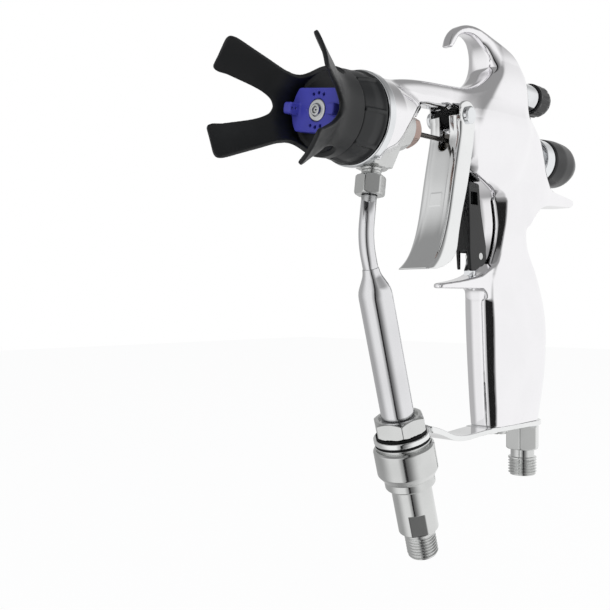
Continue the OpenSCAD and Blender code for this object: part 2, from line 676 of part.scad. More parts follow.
inlet_t = 3;                     // station of the fluid inlet's end along the filter
swivel_t = 34;                   // station of the swivel body's lower end
bracket_t = 53.5;                // station of the bracket's ring
nut_t = 56.7;                    // station of the housing nut's lower face
inlet_r = 8.15;                  // swivelling inlet
clip_t = 38.4;                   // station of the clip that holds the inlet
module bracket() color("silver") difference() {
  union() {
    // Plate under the grip
    translate([0, 0, 24.1]) linear_extrude(2.2) polygon(concat(
      arc(0, 0, 8.6, -90, 90, 10), [[-26, 7.4], [-38, 6.4], [-38, -6.4], [-26, -7.4]]));
    // Neck that drops, then climbs to the leaning ring
    intersection() {
      side(20) polygon(concat(
        smooth([[-36, 26.3], [-46, 26], [-56, 25.6], [-66, 26.8], [-76, 30.2],
          [-86, 32.8]], 4),
        smooth([[-86, 30.2], [-76, 27.7], [-66, 24.4], [-56, 23.3], [-46, 23.8],
          [-36, 24.1]], 4)));
      linear_extrude(60) polygon(concat(
        smooth([[-36, 6.6], [-46, 6.2], [-58, 6], [-70, 6.6], [-86, 8.4]], 3),
        smooth([[-86, -8.4], [-70, -6.6], [-58, -6], [-46, -6.2], [-36, -6.6]], 3)));
    }
    in_filter() translate([0, 0, bracket_t]) cylinder(h = 2.3, r = 11.3);
  }
  in_filter() translate([0, 0, bracket_t - 6]) cylinder(h = 6, r = 12.6);
  in_filter() translate([0, 0, bracket_t + 2.3]) cylinder(h = 6, r = 12.6);
  in_filter() translate([0, 0, bracket_t - 1]) cylinder(h = 5, r = 7.7);
  translate([0, 0, 20]) cylinder(h = 10, r = 5.6);
  translate([-22, 0, 20]) cylinder(h = 10, r = 2.1);
}

module bracket_screw() color("dimgray") difference() {
  union() {
    translate([-22, 0, 26]) cylinder(h = 14, r = 1.95);
    translate([-22, 0, 24]) mirror([0, 0, 1]) rotate_extrude()
      polygon([[0, -3], [1.95, -3], [1.95, 0], [4.6, 0], [4.6, 0.9], [3.6, 2.1], [0, 2.6]]);
  }
  translate([-22, 0, 21]) rotate([0, 0, 40]) cube([12, 1.1, 2.4], center = true);
}

module tube_nut() color("silver") in_boss() difference() {
  intersection() {
    translate([0, 0, male_end - 1.8]) rotate([0, 0, 12])
      cylinder(h = 7.4, r = 10.4 / sqrt(3), $fn = 6);
    translate([0, 0, male_end - 1.8]) rotate_extrude() polygon([[0, 0], [5.4, 0],
      [6.2, 0.8], [6.2, 6.6], [5.4, 7.4], [0, 7.4]]);
  }
  translate([0, 0, male_end - 2]) cylinder(h = 4.4, r = 4.02);
  translate([0, 0, male_end - 2]) cylinder(h = 10, r = tube_r + 0.02);
}

module tube_ferrule() color("gold") in_boss() translate([0, 0, male_end + 0.1]) difference() {
  cylinder(h = 2.2, r1 = 3.9, r2 = 3.4);
  translate([0, 0, -1]) cylinder(h = 5, r = tube_r);
}

// The bend is tangent to the boss's axis and to the filter's, which cross at the corner
corner_s = (cos(filter_lean) * (boss_x - filter_foot[0])
  + sin(filter_lean) * (axis_z - filter_foot[1])) / sin(boss_lean + filter_lean);
corner = [boss_x - corner_s * sin(boss_lean), axis_z - corner_s * cos(boss_lean)];
bend_l = bend_r * tan((boss_lean + filter_lean) / 2);
bend_centre = corner + [sin(boss_lean), cos(boss_lean)] * bend_l
  + bend_r * [cos(boss_lean), -sin(boss_lean)];
corner_t = norm(corner - filter_foot);

module fluid_tube() color("lightgray") difference() {
  union() {
    in_boss() translate([0, 0, male_end + 0.2])
      cylinder(h = corner_s - bend_l - male_end + 0.3, r = tube_r);
    translate([bend_centre[0], 0, bend_centre[1]]) rotate([90, 0, 0])
      rotate([0, 0, 180 - boss_lean])
        rotate_extrude(angle = boss_lean + filter_lean) translate([bend_r, 0])
          circle(r = tube_r - 0.02);
    in_filter() translate([0, 0, 114.6]) cylinder(h = corner_t - bend_l - 114.1, r = tube_r);
  }
  in_boss() translate([0, 0, male_end]) cylinder(h = 6, r = 2);
}

module filter_housing() color("lightgray") in_filter() difference() {
  union() {
    translate([0, 0, nut_t + 0.1]) cylinder(h = 114.9 - nut_t, r = filter_r);
    translate([0, 0, 115]) cylinder(h = 8.4, r1 = filter_r, r2 = tube_r + 0.2);
  }
  translate([0, 0, nut_t]) cylinder(h = 114 - nut_t, r = filter_r - 1.2);
  translate([0, 0, 114]) cylinder(h = 20, r = tube_r + 0.01);
}

module filter_element() color("silver") in_filter() translate([0, 0, 57.4]) difference() {
  union() {
    cylinder(h = 44, r = 3.6);
    for (k = [0:4]) translate([0, 0, k * 10.6]) cylinder(h = 1.6, r = 4.9);
  }
  translate([0, 0, -1]) cylinder(h = 44, r = 2.8);
}

module filter_spring() color("gray") in_filter() rotate([0, -90, 0])
  coil(101.8, 11.6, 4.2, 0.4, 5, z = 0);

module housing_nut() color("silver") in_filter() difference() {
  translate([0, 0, nut_t]) rotate([0, 0, 43]) intersection() {
    cylinder(h = 6.6, r = 19 / sqrt(3), $fn = 6);
    rotate_extrude() polygon([[0, 0], [9.8, 0], [11, 1], [11, 5.4], [9.2, 6.6], [0, 6.6]]);
  }
  translate([0, 0, nut_t - 1]) cylinder(h = 20, r = filter_r + 0.01);
  // Round recess in the top face, round the housing
  translate([0, 0, nut_t + 5.6]) cylinder(h = 2, r = 7.8);
}

module joint_rings() color("black") union() {
  tube_ring(bracket_t + 2.35, 0.8, 10.2, 7.65);
  tube_ring(bracket_t - 0.85, 0.8, 10.9, 7.65);
}

module swivel_body() color("silver") in_filter() difference() {
  rotate_extrude() polygon([[0, swivel_t], [9.6, swivel_t], [10.2, swivel_t + 0.6],
    [10.2, 37.4], [12.3, 40.4], [12.3, 50.4], [11.4, 51.2], [10.4, 51.2], [10.4, 52.1],
    [11.2, 52.1], [11.2, 52.6], [7.6, 52.6], [7.6, nut_t - 0.1], [0, nut_t - 0.1]]);
  translate([0, 0, 30]) cylinder(h = 14, r = inlet_r + run_gap);
  translate([0, 0, clip_t - 0.05]) cylinder(h = 1.2, r = 9.2);
  translate([0, 0, 30]) cylinder(h = 30, r = 4.4);
}

module swivel_clip() color("dimgray") tube_ring(clip_t, 1.1, 9.15, 7.5);

module swivel_seal() color("black") in_filter() difference() {
  translate([0, 0, 41.9]) cylinder(h = 2, r = inlet_r);
  translate([0, 0, 41]) cylinder(h = 5, r = 5.3);
}

module fluid_inlet() color("silver") in_filter() difference() {
  union() {
    translate([0, 0, inlet_t]) cylinder(h = 13.6 - inlet_t, r = fluid_thread_r);
    translate([0, 0, 13.4]) cylinder(h = 1.2, r1 = fluid_thread_r, r2 = inlet_r);
    translate([0, 0, 14.6]) cylinder(h = 26.8, r = inlet_r);
    translate([0, 0, 41]) cylinder(h = 2.8, r = 5.2);
  }
  translate([0, 0, inlet_t - 1]) cylinder(h = 60, r = 3.2);
  // Seat for the hose's cone
  translate([0, 0, inlet_t - 0.1]) cylinder(h = 2.1, r1 = 5.3, r2 = 3.2);
  // Groove of the clip
  translate([0, 0, clip_t - 0.1]) rotate_extrude() translate([7.4, 0]) square([3, 1.3]);
  // Spanner flats
  for (s = [-1, 1]) rotate([0, 0, 40]) translate([s * 10.4, 0, 19])
    cube([6, 20, 9], center = true);
}

gun_body();
head_ring();
fluid_section();
fluid_seat();
tip_seal();
spray_tip();
air_cap();
retaining_nut();
tip_guard();
packing_nut();
needle_packing();
fluid_needle();
needle_collar();
needle_tail();
needle_spring();
air_valve_stem();
air_valve_seal();
air_valve_spring();
spring_housing();
needle_stop();
fluid_knob();
pattern_collar();
pattern_needle();
pattern_seal();
pattern_knob();
trigger();
pivot_screw();
pivot_nut();
pivot_washers();
safety_post();
safety_pin();
safety_lever();
bracket();
bracket_screw();
air_nipple();
inlet_washer();
tube_nut();
tube_ferrule();
fluid_tube();
filter_housing();
filter_element();
filter_spring();
housing_nut();
joint_rings();
swivel_body();
swivel_seal();
swivel_clip();
fluid_inlet();
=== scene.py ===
"""Air-assisted airless spray gun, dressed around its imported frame.

Lengths are in millimetres and angles in degrees until a mesh is made, and a mesh is in
metres. +Z is up, the gun sprays towards -X, and -Y is its left side. Each piece keeps its
place in its mesh, and its object stays at the origin.
"""

import json
import math

import bpy
import mathutils
import numpy as np
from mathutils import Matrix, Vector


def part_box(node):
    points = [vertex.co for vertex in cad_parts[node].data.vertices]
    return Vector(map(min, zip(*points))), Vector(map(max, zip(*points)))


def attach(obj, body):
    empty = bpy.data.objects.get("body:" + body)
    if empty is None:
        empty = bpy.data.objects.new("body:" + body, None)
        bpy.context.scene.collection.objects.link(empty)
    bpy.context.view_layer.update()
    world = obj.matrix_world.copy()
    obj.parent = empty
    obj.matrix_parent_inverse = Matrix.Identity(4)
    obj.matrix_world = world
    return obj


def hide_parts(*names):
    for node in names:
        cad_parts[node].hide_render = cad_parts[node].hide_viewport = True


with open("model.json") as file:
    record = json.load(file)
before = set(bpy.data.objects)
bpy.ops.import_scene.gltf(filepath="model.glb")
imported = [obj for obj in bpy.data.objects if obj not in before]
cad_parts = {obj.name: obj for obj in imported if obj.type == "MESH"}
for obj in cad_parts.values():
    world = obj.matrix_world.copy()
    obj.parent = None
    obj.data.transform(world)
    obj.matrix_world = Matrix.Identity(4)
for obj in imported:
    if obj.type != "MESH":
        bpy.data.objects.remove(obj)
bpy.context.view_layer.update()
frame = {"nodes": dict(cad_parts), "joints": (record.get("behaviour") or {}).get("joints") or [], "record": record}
MM = 0.001
NODES = frame["nodes"]
JOINTS = {joint["name"]: joint for joint in frame["joints"]}


def box(node):
    """Lowest and highest corner of a node of the frame, in millimetres."""
    return [np.array(corner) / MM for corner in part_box(node)]


def joint_at(name):
    """Place of a joint, in millimetres."""
    return np.array(JOINTS[name]["pos_m"]) / MM


# ---- Driving places and sizes, taken from the frame ------------------------------------

X, Y, Z = np.eye(3)
ORIGIN = np.zeros(3)
SPRAY_Z = joint_at("cap_turn")[2]
AXIS = SPRAY_Z * Z
PATTERN_AXIS = joint_at("pattern_knob_turn")[2] * Z
PIVOT = joint_at("trigger_pull") * [1, 0, 1]
LEVER_PIN = joint_at("safety_tilt")
CAP_TURN = 9.6
SWIVEL_DOWN = np.array(JOINTS["inlet_swivel"]["axis"], float)
FILTER_UP = -SWIVEL_DOWN / np.linalg.norm(SWIVEL_DOWN)
FILTER_FOOT = np.array([-79.1, 0, -23.5])
BOSS_TOP = np.array([-111.07, 0, SPRAY_Z])
BOSS_LEAN = 8
BOSS_DOWN = np.array([-math.sin(math.radians(BOSS_LEAN)), 0,
                      -math.cos(math.radians(BOSS_LEAN))])


# ---- Curves ------------------------------------------------------------------------------


def spline(knots, places):
    """Natural cubic spline through rows of [place, value], read at the given places."""
    x, y = np.asarray(knots, float).T
    h = np.diff(x)
    count = len(x)
    system = np.eye(count)
    i = np.arange(1, count - 1)
    system[i, i - 1] = h[:-1]
    system[i, i] = 2 * (h[:-1] + h[1:])
    system[i, i + 1] = h[1:]
    right = np.zeros(count)
    right[1:-1] = 6 * np.diff(np.diff(y) / h)
    bend = np.linalg.solve(system, right)
    t = np.clip(places, x[0], x[-1])
    j = np.clip(np.searchsorted(x, t, side="right") - 1, 0, count - 2)
    u, v, w = t - x[j], x[j + 1] - t, h[j]
    cubic = (bend[j] * v**3 + bend[j + 1] * u**3) / (6 * w)
    return cubic + (y[j] / w - bend[j] * w / 6) * v + (y[j + 1] / w - bend[j + 1] * w / 6) * u


def through(points, count):
    """Points of a natural cubic spline through the given ones, spaced by chord length."""
    p = np.asarray(points, float)
    s = np.r_[0, np.cumsum(np.linalg.norm(np.diff(p, axis=0), axis=1))]
    t = np.linspace(0, s[-1], count)
    return np.stack([spline(np.c_[s, p[:, k]], t) for k in range(p.shape[1])], 1)


def arc(x, z, r, start, end, count=10):
    """Points of a circular arc, from one angle to another."""
    a = np.radians(np.linspace(start, end, count))
    return np.c_[x + r * np.cos(a), z + r * np.sin(a)]


def rounded(corners, step=10):
    """Closed outline and its normals, with each [s, r, fillet] corner turned into an arc.

    The arc touches both sides of the corner, and a normal is the tangent turned by 90
    degrees, so a flat stays flat up to its fillet.
    """
    c = np.asarray(corners, float)
    points, normals = [], []
    for i, (s, r, fillet) in enumerate(c):
        here = np.array([s, r])
        before, after = c[i - 1, :2], c[(i + 1) % len(c), :2]
        u, v = here - before, after - here
        lu, lv = np.linalg.norm(u), np.linalg.norm(v)
        u, v = u / lu, v / lv
        turn = math.atan2(u[0] * v[1] - u[1] * v[0], u @ v)
        if abs(turn) < 1e-3:
            continue
        reach = min(max(fillet, 0.02) * math.tan(abs(turn) / 2), 0.48 * lu, 0.48 * lv)
        radius = reach / math.tan(abs(turn) / 2)
        side = math.copysign(1, turn)
        nu = np.array([-u[1], u[0]])
        centre = here - u * reach + nu * side * radius
        steps = max(2, math.ceil(abs(math.degrees(turn)) / step) + 1)
        a = np.linspace(0, turn, steps)
        turned = np.stack([nu[0] * np.cos(a) - nu[1] * np.sin(a),
                           nu[0] * np.sin(a) + nu[1] * np.cos(a)], 1)
        points.append(centre - turned * side * radius)
        normals.append(turned)
    return np.concatenate(points), np.concatenate(normals)


# ---- Meshes ------------------------------------------------------------------------------


def grid_quads(rows, columns, loop_rows=False):
    """Quads between neighbours of a grid whose columns, and rows where asked, join round."""
    i = np.arange(rows if loop_rows else rows - 1)[:, None]
    j = np.arange(columns)[None, :]
    up, right = (i + 1) % rows, (j + 1) % columns
    corners = (i * columns + j, i * columns + right, up * columns + right, up * columns + j)
    return np.stack(np.broadcast_arrays(*corners), -1).reshape(-1, 4)


def volume6(p, quads):
    """Six times the signed volume inside quads, positive where they face outwards."""
    a, b, c, d = (p[quads[:, k]] for k in range(4))
    return (np.cross(a, b) * c + np.cross(a, c) * d).sum()


def piece(name, points, quads, finish, body, node=None, normals=None):
    """Welded mesh object, facing outwards, that rides on a body and stands for a node."""
    points = np.asarray(points, float).reshape(-1, 3)
    if normals is not None:
        normals = np.asarray(normals, float).reshape(-1, 3)
    if volume6(points, quads) < 0:
        quads = quads[:, ::-1]
    if normals is not None:
        a, b, c = (points[quads[:, k]] for k in range(3))
        if (np.cross(b - a, c - a) * normals[quads[:, 1]]).sum() < 0:
            normals = -normals
    _, first, back = np.unique(np.round(points, 4), axis=0, return_index=True,
                               return_inverse=True)
    quads = back.reshape(-1)[quads]
    same = quads == np.roll(quads, -1, axis=1)
    faces = quads[same.sum(1) == 0].tolist()
    for k in range(4):
        once = quads[(same.sum(1) == 1) & same[:, k]]
        faces += np.roll(once, -k - 1, axis=1)[:, :3].tolist()
    mesh = bpy.data.meshes.new(name)
    mesh.from_pydata((points[first] * MM).tolist(), [], faces)
    mesh.polygons.foreach_set("use_smooth", np.ones(len(mesh.polygons), bool))
    mesh.update()
    if normals is not None:
        mesh.normals_split_custom_set_from_vertices(normals[first].tolist())
    mesh.materials.append(FINISH[finish])
    made = bpy.data.objects.new(name, mesh)
    bpy.context.scene.collection.objects.link(made)
    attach(made, body)
    if node:
        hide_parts(node)
    return made


def slot_of(node):
    """Material slot of a node, as the record gives it."""
    return {s["node"]: s["material_slot"] for s in frame["record"]["subparts"]}[node]


def ring_frame(axis, across=None):
    """Two unit vectors square to an axis, for angles round it."""
    a = axis / np.linalg.norm(axis)
    b = np.cross(a, Y if across is None else across)
    if np.linalg.norm(b) < 1e-6:
        b = np.cross(a, Z)
    b /= np.linalg.norm(b)
    return a, b, np.cross(a, b)


def dense(p, n, fine):
    """Closed outline and its normals with more points on it, a fine step apart at most."""
    q, m = np.r_[p, p[:1]], np.r_[n, n[:1]]
    steps = np.maximum(1, np.ceil(np.linalg.norm(np.diff(q, axis=0), axis=1) / fine)).astype(int)
    i = np.repeat(np.arange(len(steps)), steps)
    t = (np.arange(steps.sum()) - np.repeat(np.cumsum(steps) - steps, steps)) / steps[i]
    return [a[i] + (a[i + 1] - a[i]) * t[:, None] for a in (q, m)]


def turned(name, corners, origin, axis, finish, body, node=None, sides=96, radius=None,
           fine=None, across=None, slot=None):
    """Solid of revolution: an outline of [station, radius, fillet] carried round an axis.

    P(s, t) = origin + axis s + (b cos t + c sin t) r(s), where radius(s, r, t), if given,
    bends the outline's radius with the angle.
    """
    p, n = rounded(corners)
    if fine:
        p, n = dense(p, n, fine)
    a, b, c = ring_frame(axis, across)
    t = np.linspace(0, 2 * np.pi, sides, endpoint=False)
    round_ = np.cos(t)[None, :, None] * b + np.sin(t)[None, :, None] * c
    r = np.repeat(p[:, 1:2], sides, 1)
    normals = n[:, :1, None] * a + n[:, 1:2, None] * round_
    if radius is not None:
        r = radius(p[:, :1], r, t[None, :])
        normals = None
    points = np.asarray(origin) + p[:, :1, None] * a + r[..., None] * round_
    quads = grid_quads(len(p), sides, loop_rows=True)
    return piece(name, points, quads, finish, body, node, normals)


def polygon_distance(x, z, outline):
    """Distance to a closed outline in a plane, negative inside it."""
    p = np.asarray(outline, float)
    nearest = np.full(np.broadcast(x, z).shape, 1e9)
    inside = np.zeros(nearest.shape, bool)
    for (ax, az), (bx, bz) in zip(p, np.roll(p, -1, axis=0)):
        ex, ez = bx - ax, bz - az
        length2 = ex * ex + ez * ez
        if length2 < 1e-12:
            continue
        h = np.clip(((x - ax) * ex + (z - az) * ez) / length2, 0, 1)
        nearest = np.minimum(nearest, (x - ax - ex * h)**2 + (z - az - ez * h)**2)
        crosses = (az > z) != (bz > z)
        where = ax + (z - az) * ex / (ez if ez else 1)
        inside ^= crosses & (x < where)
    return np.where(inside, -1, 1) * np.sqrt(nearest)


def outline_field(outline, step=0.5, margin=14):
    """Function that gives the distance to a closed outline, negative inside it.

    The distance is kept on a grid, and is read between its points by a Catmull-Rom cubic
    in each direction, so its slope has no steps. Beyond the grid it grows evenly.
    """
    p = np.asarray(outline, float)
    low = p.min(0) - margin
    u, v = [np.arange(a, b + margin, step) for a, b in zip(low, p.max(0))]
    kept = polygon_distance(u[:, None], v[None, :], p)

    def weights(t):
        return (-t / 2 + t * t - t**3 / 2, 1 - 2.5 * t * t + 1.5 * t**3,
                t / 2 + 2 * t * t - 1.5 * t**3, -t * t / 2 + t**3 / 2)

    def field(x, z):
        a, b = np.broadcast_arrays((x - low[0]) / step, (z - low[1]) / step)
        s, t = np.clip(a, 1, len(u) - 3), np.clip(b, 1, len(v) - 3)
        beyond = step * np.hypot(a - s, b - t)
        i, j = s.astype(int), t.astype(int)
        ws, wt = weights(s - i), weights(t - j)
        total = beyond
        for m in range(4):
            for n in range(4):
                total = total + ws[m] * wt[n] * kept[i + m - 1, j + n - 1]
        return total

    return field


def slab(x_field, y, half, edge):
    """Field of an outline's solid, of a half thickness across Y, with rounded edges."""
    return common(x_field, np.abs(y) - half, edge)


def join(a, b, blend):
    """Field of two solids together, with a fillet of about the blend in the corner."""
    h = np.maximum(blend - np.abs(a - b), 0) / blend
    return np.minimum(a, b) - h * h * blend / 4


def common(a, b, blend):
    """Field of what two solids share, with its edge rounded by about the blend."""
    return -join(-a, -b, blend)


def cut(a, b, blend):
    """Field of one solid less another."""
    return common(a, -b, blend)


def skinned(name, field, steps, finish, body, node, wider=0):
    """Skin of a solid that is given as a field of distances, negative inside.

    Each cell that the surface crosses gets a point at the mean of its edges' crossings,
    each grid edge that changes sign gets a quad between its four cells, and the points are
    then slid down the field's slope onto its zero. Normals are the field's slope.
    """
    step = steps[1]
    low, high = box(node)
    axes = [np.arange(a - 2 * step, b + 3 * step, step)
            for a, b in zip(low - wider, high + wider)]
    x, y, z = axes[0][:, None, None], axes[1][None, :, None], axes[2][None, None, :]
    f = np.broadcast_to(field(x, y, z), [len(v) for v in axes])
    inside = f < 0
    m = [len(v) - 1 for v in axes]
    shifts = [(i, j, k) for i in (0, 1) for j in (0, 1) for k in (0, 1)]
    count = sum(inside[i:i + m[0], j:j + m[1], k:k + m[2]].astype(np.int8)
                for i, j, k in shifts)
    cells = np.argwhere((count > 0) & (count < 8))
    number = np.full(m, -1)
    number[tuple(cells.T)] = np.arange(len(cells))
    total, hits = np.zeros((len(cells), 3)), np.zeros(len(cells))
    for i, j, k in shifts:
        for axis in range(3):
            if (i, j, k)[axis]:
                continue
            near = cells + (i, j, k)
            far = near + np.eye(3, dtype=int)[axis]
            a, b = f[tuple(near.T)], f[tuple(far.T)]
            crosses = (a < 0) != (b < 0)
            t = np.where(crosses, a / np.where(crosses, a - b, 1), 0)
            total += (near + t[:, None] * np.eye(3)[axis]) * crosses[:, None]
            hits += crosses
    points = total / hits[:, None] * step + [v[0] for v in axes]
    quads = []
    for axis in range(3):
        u, v = np.eye(3, dtype=int)[[(axis + 1) % 3, (axis + 2) % 3]]
        a = inside[tuple(slice(None, -1) if k == axis else slice(None) for k in range(3))]
        b = inside[tuple(slice(1, None) if k == axis else slice(None) for k in range(3))]
        edge = np.argwhere(a != b)
        grows = a[tuple(edge.T)]
        around = [number[tuple((edge - s).T)] for s in (0 * u, u, u + v, v)]
        q = np.stack(around, 1)
        quads.append(np.where(grows[:, None], q, q[:, ::-1]))
    quads = np.concatenate(quads)
    for _ in range(3):
        slope = steepness(field, points)
        move = field(*points.T)[:, None] * slope / (slope * slope).sum(1)[:, None]
        size = np.linalg.norm(move, axis=1)[:, None]
        points = points - move * np.minimum(1, 0.5 * step / np.maximum(size, 1e-9))
    slope = steepness(field, points)
    normals = slope / np.linalg.norm(slope, axis=1)[:, None]
    return piece(name, points, quads, finish, body, node, normals)


def steepness(field, points, reach=0.04):
    """Slope of a field at points, by differences across a short reach."""
    return np.stack([(field(*(points + reach * e).T) - field(*(points - reach * e).T))
                     / (2 * reach) for e in np.eye(3)], 1)


# ---- Shader maths ------------------------------------------------------------------------


class Value:
    """A number or a node's socket, whose operators add Math nodes."""

    def __init__(self, shader, socket):
        self.shader, self.socket = shader, socket

    def _math(self, operation, *others):
        return self.shader.node("ShaderNodeMath", dict(operation=operation), self, *others)

    def __add__(self, other):
        return self._math("ADD", other)

    __radd__ = __add__

    def __mul__(self, other):
        return self._math("MULTIPLY", other)

    __rmul__ = __mul__

    def __sub__(self, other):
        return self._math("SUBTRACT", other)

    def __rsub__(self, other):
        return self * -1 + other

    def __abs__(self):
        return self._math("ABSOLUTE")

    def sine(self):
        return self._math("SINE")

    def most(self, other):
        return self._math("MAXIMUM", other)

    def ramp(self, low, high, start=0.0, end=1.0):
        """Eased step: start where the value is low and end where it is high."""
        return self.shader.node("ShaderNodeMapRange",
                                dict(interpolation_type="SMOOTHSTEP", clamp=True),
                                self, low, high, start, end)


class Shader:
    """Node tree of a material or of the world."""

    def __init__(self, tree):
        self.tree = tree
        tree.nodes.clear()

    def node(self, kind, settings=None, *values, out=0, **named):
        """Node of a kind: settings first, then its sockets by place or name."""
        node = self.tree.nodes.new(kind)
        for key, value in (settings or {}).items():
            setattr(node, key, value)
        for where, value in [*enumerate(values), *named.items()]:
            socket = node.inputs[where if isinstance(where, int) else where.replace("_", " ")]
            if isinstance(value, Value):
                self.tree.links.new(value.socket, socket)
            elif value is not None:
                socket.default_value = value
        return Value(self, node.outputs[out]) if node.outputs else node

    def place(self, scale=1.0, turn=(0, 0, 0)):
        """Object coordinates in millimetres, scaled and turned."""
        coords = self.node("ShaderNodeTexCoord", out="Object")
        return self.node("ShaderNodeMapping", dict(vector_type="POINT"), coords,
                         Rotation=tuple(np.radians(turn)),
                         Scale=tuple(np.ones(3) * scale / MM))

    def part(self, vector, axis):
        """One coordinate of a vector."""
        return self.node("ShaderNodeSeparateXYZ", None, vector, out="XYZ".index(axis))

    def noise(self, scale, detail, rough=0.5, stretch=1.0, turn=(0, 0, 0)):
        """Cloudy pattern from 0 to 1, with lumps of about 1/scale millimetres."""
        return self.node("ShaderNodeTexNoise", dict(noise_dimensions="3D"),
                         self.place(stretch, turn), Scale=scale, Detail=detail,
                         Roughness=rough)

    def cells(self, scale):
        """Distance to the nearest of scattered points."""
        return self.node("ShaderNodeTexVoronoi", dict(feature="F1"), self.place(),
                         Scale=scale)

    def mix(self, factor, first, second):
        """Colour between two."""
        node = self.tree.nodes.new("ShaderNodeMix")
        node.data_type = "RGBA"
        for socket, value in zip((node.inputs[0], node.inputs[6], node.inputs[7]),
                                 (factor, first, second)):
            if isinstance(value, Value):
                self.tree.links.new(value.socket, socket)
            else:
                socket.default_value = value if isinstance(value, float) else (*value, 1)
        return Value(self, node.outputs[2])

    def bump(self, height, distance):
        """Normal of a surface with a height pattern, its distance in millimetres."""
        return self.node("ShaderNodeBump", None, Strength=1.0, Distance=distance * MM,
                         Height=height)


def linear(code):
    """Linear colour of an sRGB code such as '4a4ba0'."""
    c = np.array([int(code[k:k + 2], 16) for k in (0, 2, 4)]) / 255
    return tuple(np.where(c <= 0.04045, c / 12.92, ((c + 0.055) / 1.055)**2.4))


def material(name, build):
    """Material whose Principled sockets are what build returns, by name."""
    made = bpy.data.materials.new(name)
    made.use_nodes = True
    shader = Shader(made.node_tree)
    sockets = build(shader)
    colour = sockets.get("Base_Color")
    if isinstance(colour, tuple):
        sockets["Base_Color"] = (*colour, 1)
        made.diffuse_color = (*colour, 1)
    surface = shader.node("ShaderNodeBsdfPrincipled", None, **sockets)
    shader.node("ShaderNodeOutputMaterial", None, surface)
    return made


def plated(name, colour, rough, tone, grain=0.0):
    """Polished or satin metal: cloudy shine, soft handling marks and fine grain."""
    def build(s):
        cloud = s.noise(0.05, 3.0)
        fine = s.noise(1.4, 4.0, 0.6)
        dull = tuple(np.array(linear(colour)) * (1 - tone))
        marks = s.noise(2.2, 2.0, 0.7, stretch=(0.12, 1.0, 1.0), turn=(12, 20, 35))
        marks = marks.ramp(0.60, 0.70)
        wipe = cloud.ramp(0.42, 0.68)
        return dict(Base_Color=s.mix(wipe * 0.6 + marks * 0.4, linear(colour), dull),
                    Metallic=1.0, Roughness=rough * (1 + 0.6 * wipe + 0.5 * fine),
                    Normal=s.bump(fine * 0.6 + cloud * 2.0, 0.004 + grain))
    return material(name, build)


def moulded(name, colour, rough, grain, worn, shine=0.3):
    """Black or coloured plastic: fine moulding grain, faint dust and rubbed patches."""
    def build(s):
        cloud = s.noise(0.08, 3.0)
        fine = s.noise(3.0, 4.0, 0.65)
        pit = s.cells(2.6)
        light = tuple(np.array(linear(colour)) * (1 + worn) + 0.002)
        rub = cloud.ramp(0.45, 0.72)
        return dict(Base_Color=s.mix(rub * 0.7 + fine * 0.3, linear(colour), light),
                    Roughness=rough * (0.85 + 0.3 * fine + 0.25 * rub),
                    Specular_IOR_Level=shine,
                    Normal=s.bump(fine * 0.7 + pit * 0.5, grain))
    return material(name, build)


def machined(name, colour, rough, rings_per_mm, leaning=False, depth=0.006, tone=0.12):
    """Lathe-turned metal: fine tool rings over cloudy shine.

    The rings lie across X, or across the filter's axis where it is leaning.
    """
    def build(s):
        place = s.place(turn=(0, 16 if leaning else 0, 0))
        along = s.part(place, "Z" if leaning else "X")
        wobble = s.noise(0.4, 2.0)
        rings = (along * (2 * math.pi * rings_per_mm) + wobble * 3.0).sine()
        fine = s.noise(2.5, 3.0, 0.6)
        cloud = s.noise(0.07, 2.0)
        dull = tuple(np.array(linear(colour)) * (1 - tone))
        return dict(Base_Color=s.mix(cloud.ramp(0.4, 0.7) * 0.7, linear(colour), dull),
                    Metallic=1.0, Roughness=rough * (1 + 0.25 * rings + 0.4 * fine),
                    Normal=s.bump(rings * 0.5 + fine * 0.6, depth))
    return material(name, build)


FINISH = {
    "body_chrome": plated("body chrome plate", "f3f2f4", 0.045, 0.03),
    "trigger_chrome": plated("trigger chrome plate", "eceded", 0.05, 0.05),
    "collar_chrome": machined("collar chrome plate", "e6e8ea", 0.07, 2.2, depth=0.003),
    "stainless": machined("turned stainless", "d4d5d4", 0.1, 3.0, leaning=True, depth=0.003),
    "fluid_stainless": plated("cast stainless", "cfd0cf", 0.17, 0.12, 0.01),
    "tube_steel": plated("drawn steel tube", "e0e0e2", 0.08, 0.06, 0.002),
    "nut_black": moulded("black nut, satin", "101214", 0.36, 0.012, 0.3, shine=0.45),
    "guard_black": moulded("guard nylon, black", "0c0e10", 0.4, 0.012, 0.35, shine=0.4),
    "cap_blue": moulded("cap acetal, blue", "3d3f9e", 0.4, 0.012, 0.18),
    "tip_metal": machined("tip, turned steel", "c9cacb", 0.22, 4.0),
    "bronze": machined("bronze nut", "b09a92", 0.2, 3.0, depth=0.004),
    "brass": machined("brass", "a89468", 0.22, 3.0, depth=0.004),
    "carbide": machined("carbide seat", "6b6d70", 0.25, 4.0),
    "packing_white": moulded("packing, white", "dcdad2", 0.5, 0.01, 0.05),
    "seal_black": moulded("seal rubber, black", "08090a", 0.55, 0.02, 0.4, shine=0.2),
    "knob_black": moulded("knob nylon, black", "0e0f11", 0.3, 0.008, 0.3, shine=0.4),
    "lever_black": moulded("lever acetal, black", "08090a", 0.2, 0.004, 0.25, shine=0.35),
    # painted shade: a dark steel finish that stands in for the shade on the needle collar and fluid needle
    "shade_darkened_steel": plated("steel darkened as painted shade", "54524f", 0.14, 0.2),
    "spring_steel": plated("spring wire", "a9acb0", 0.2, 0.15),
}
for node, made in NODES.items():
    # The needle collar and fluid needle get the dark steel finish instead of their own, as painted shade
    dark = node in ("needle_collar", "fluid_needle")
    for place in made.material_slots:
        place.material = FINISH["shade_darkened_steel" if dark else slot_of(node)]


# ---- Camera, light and floor -------------------------------------------------------------

# The picture's side and the focal length are in pixels, and the stand in millimetres
SIDE = 610
FOCAL = 849.818651
AZIMUTH, ELEVATION, ROLL = 43.6810964, -0.366520075, 0.0198684196
STAND = np.array([-364.435959, -204.648992, 83.0391394])


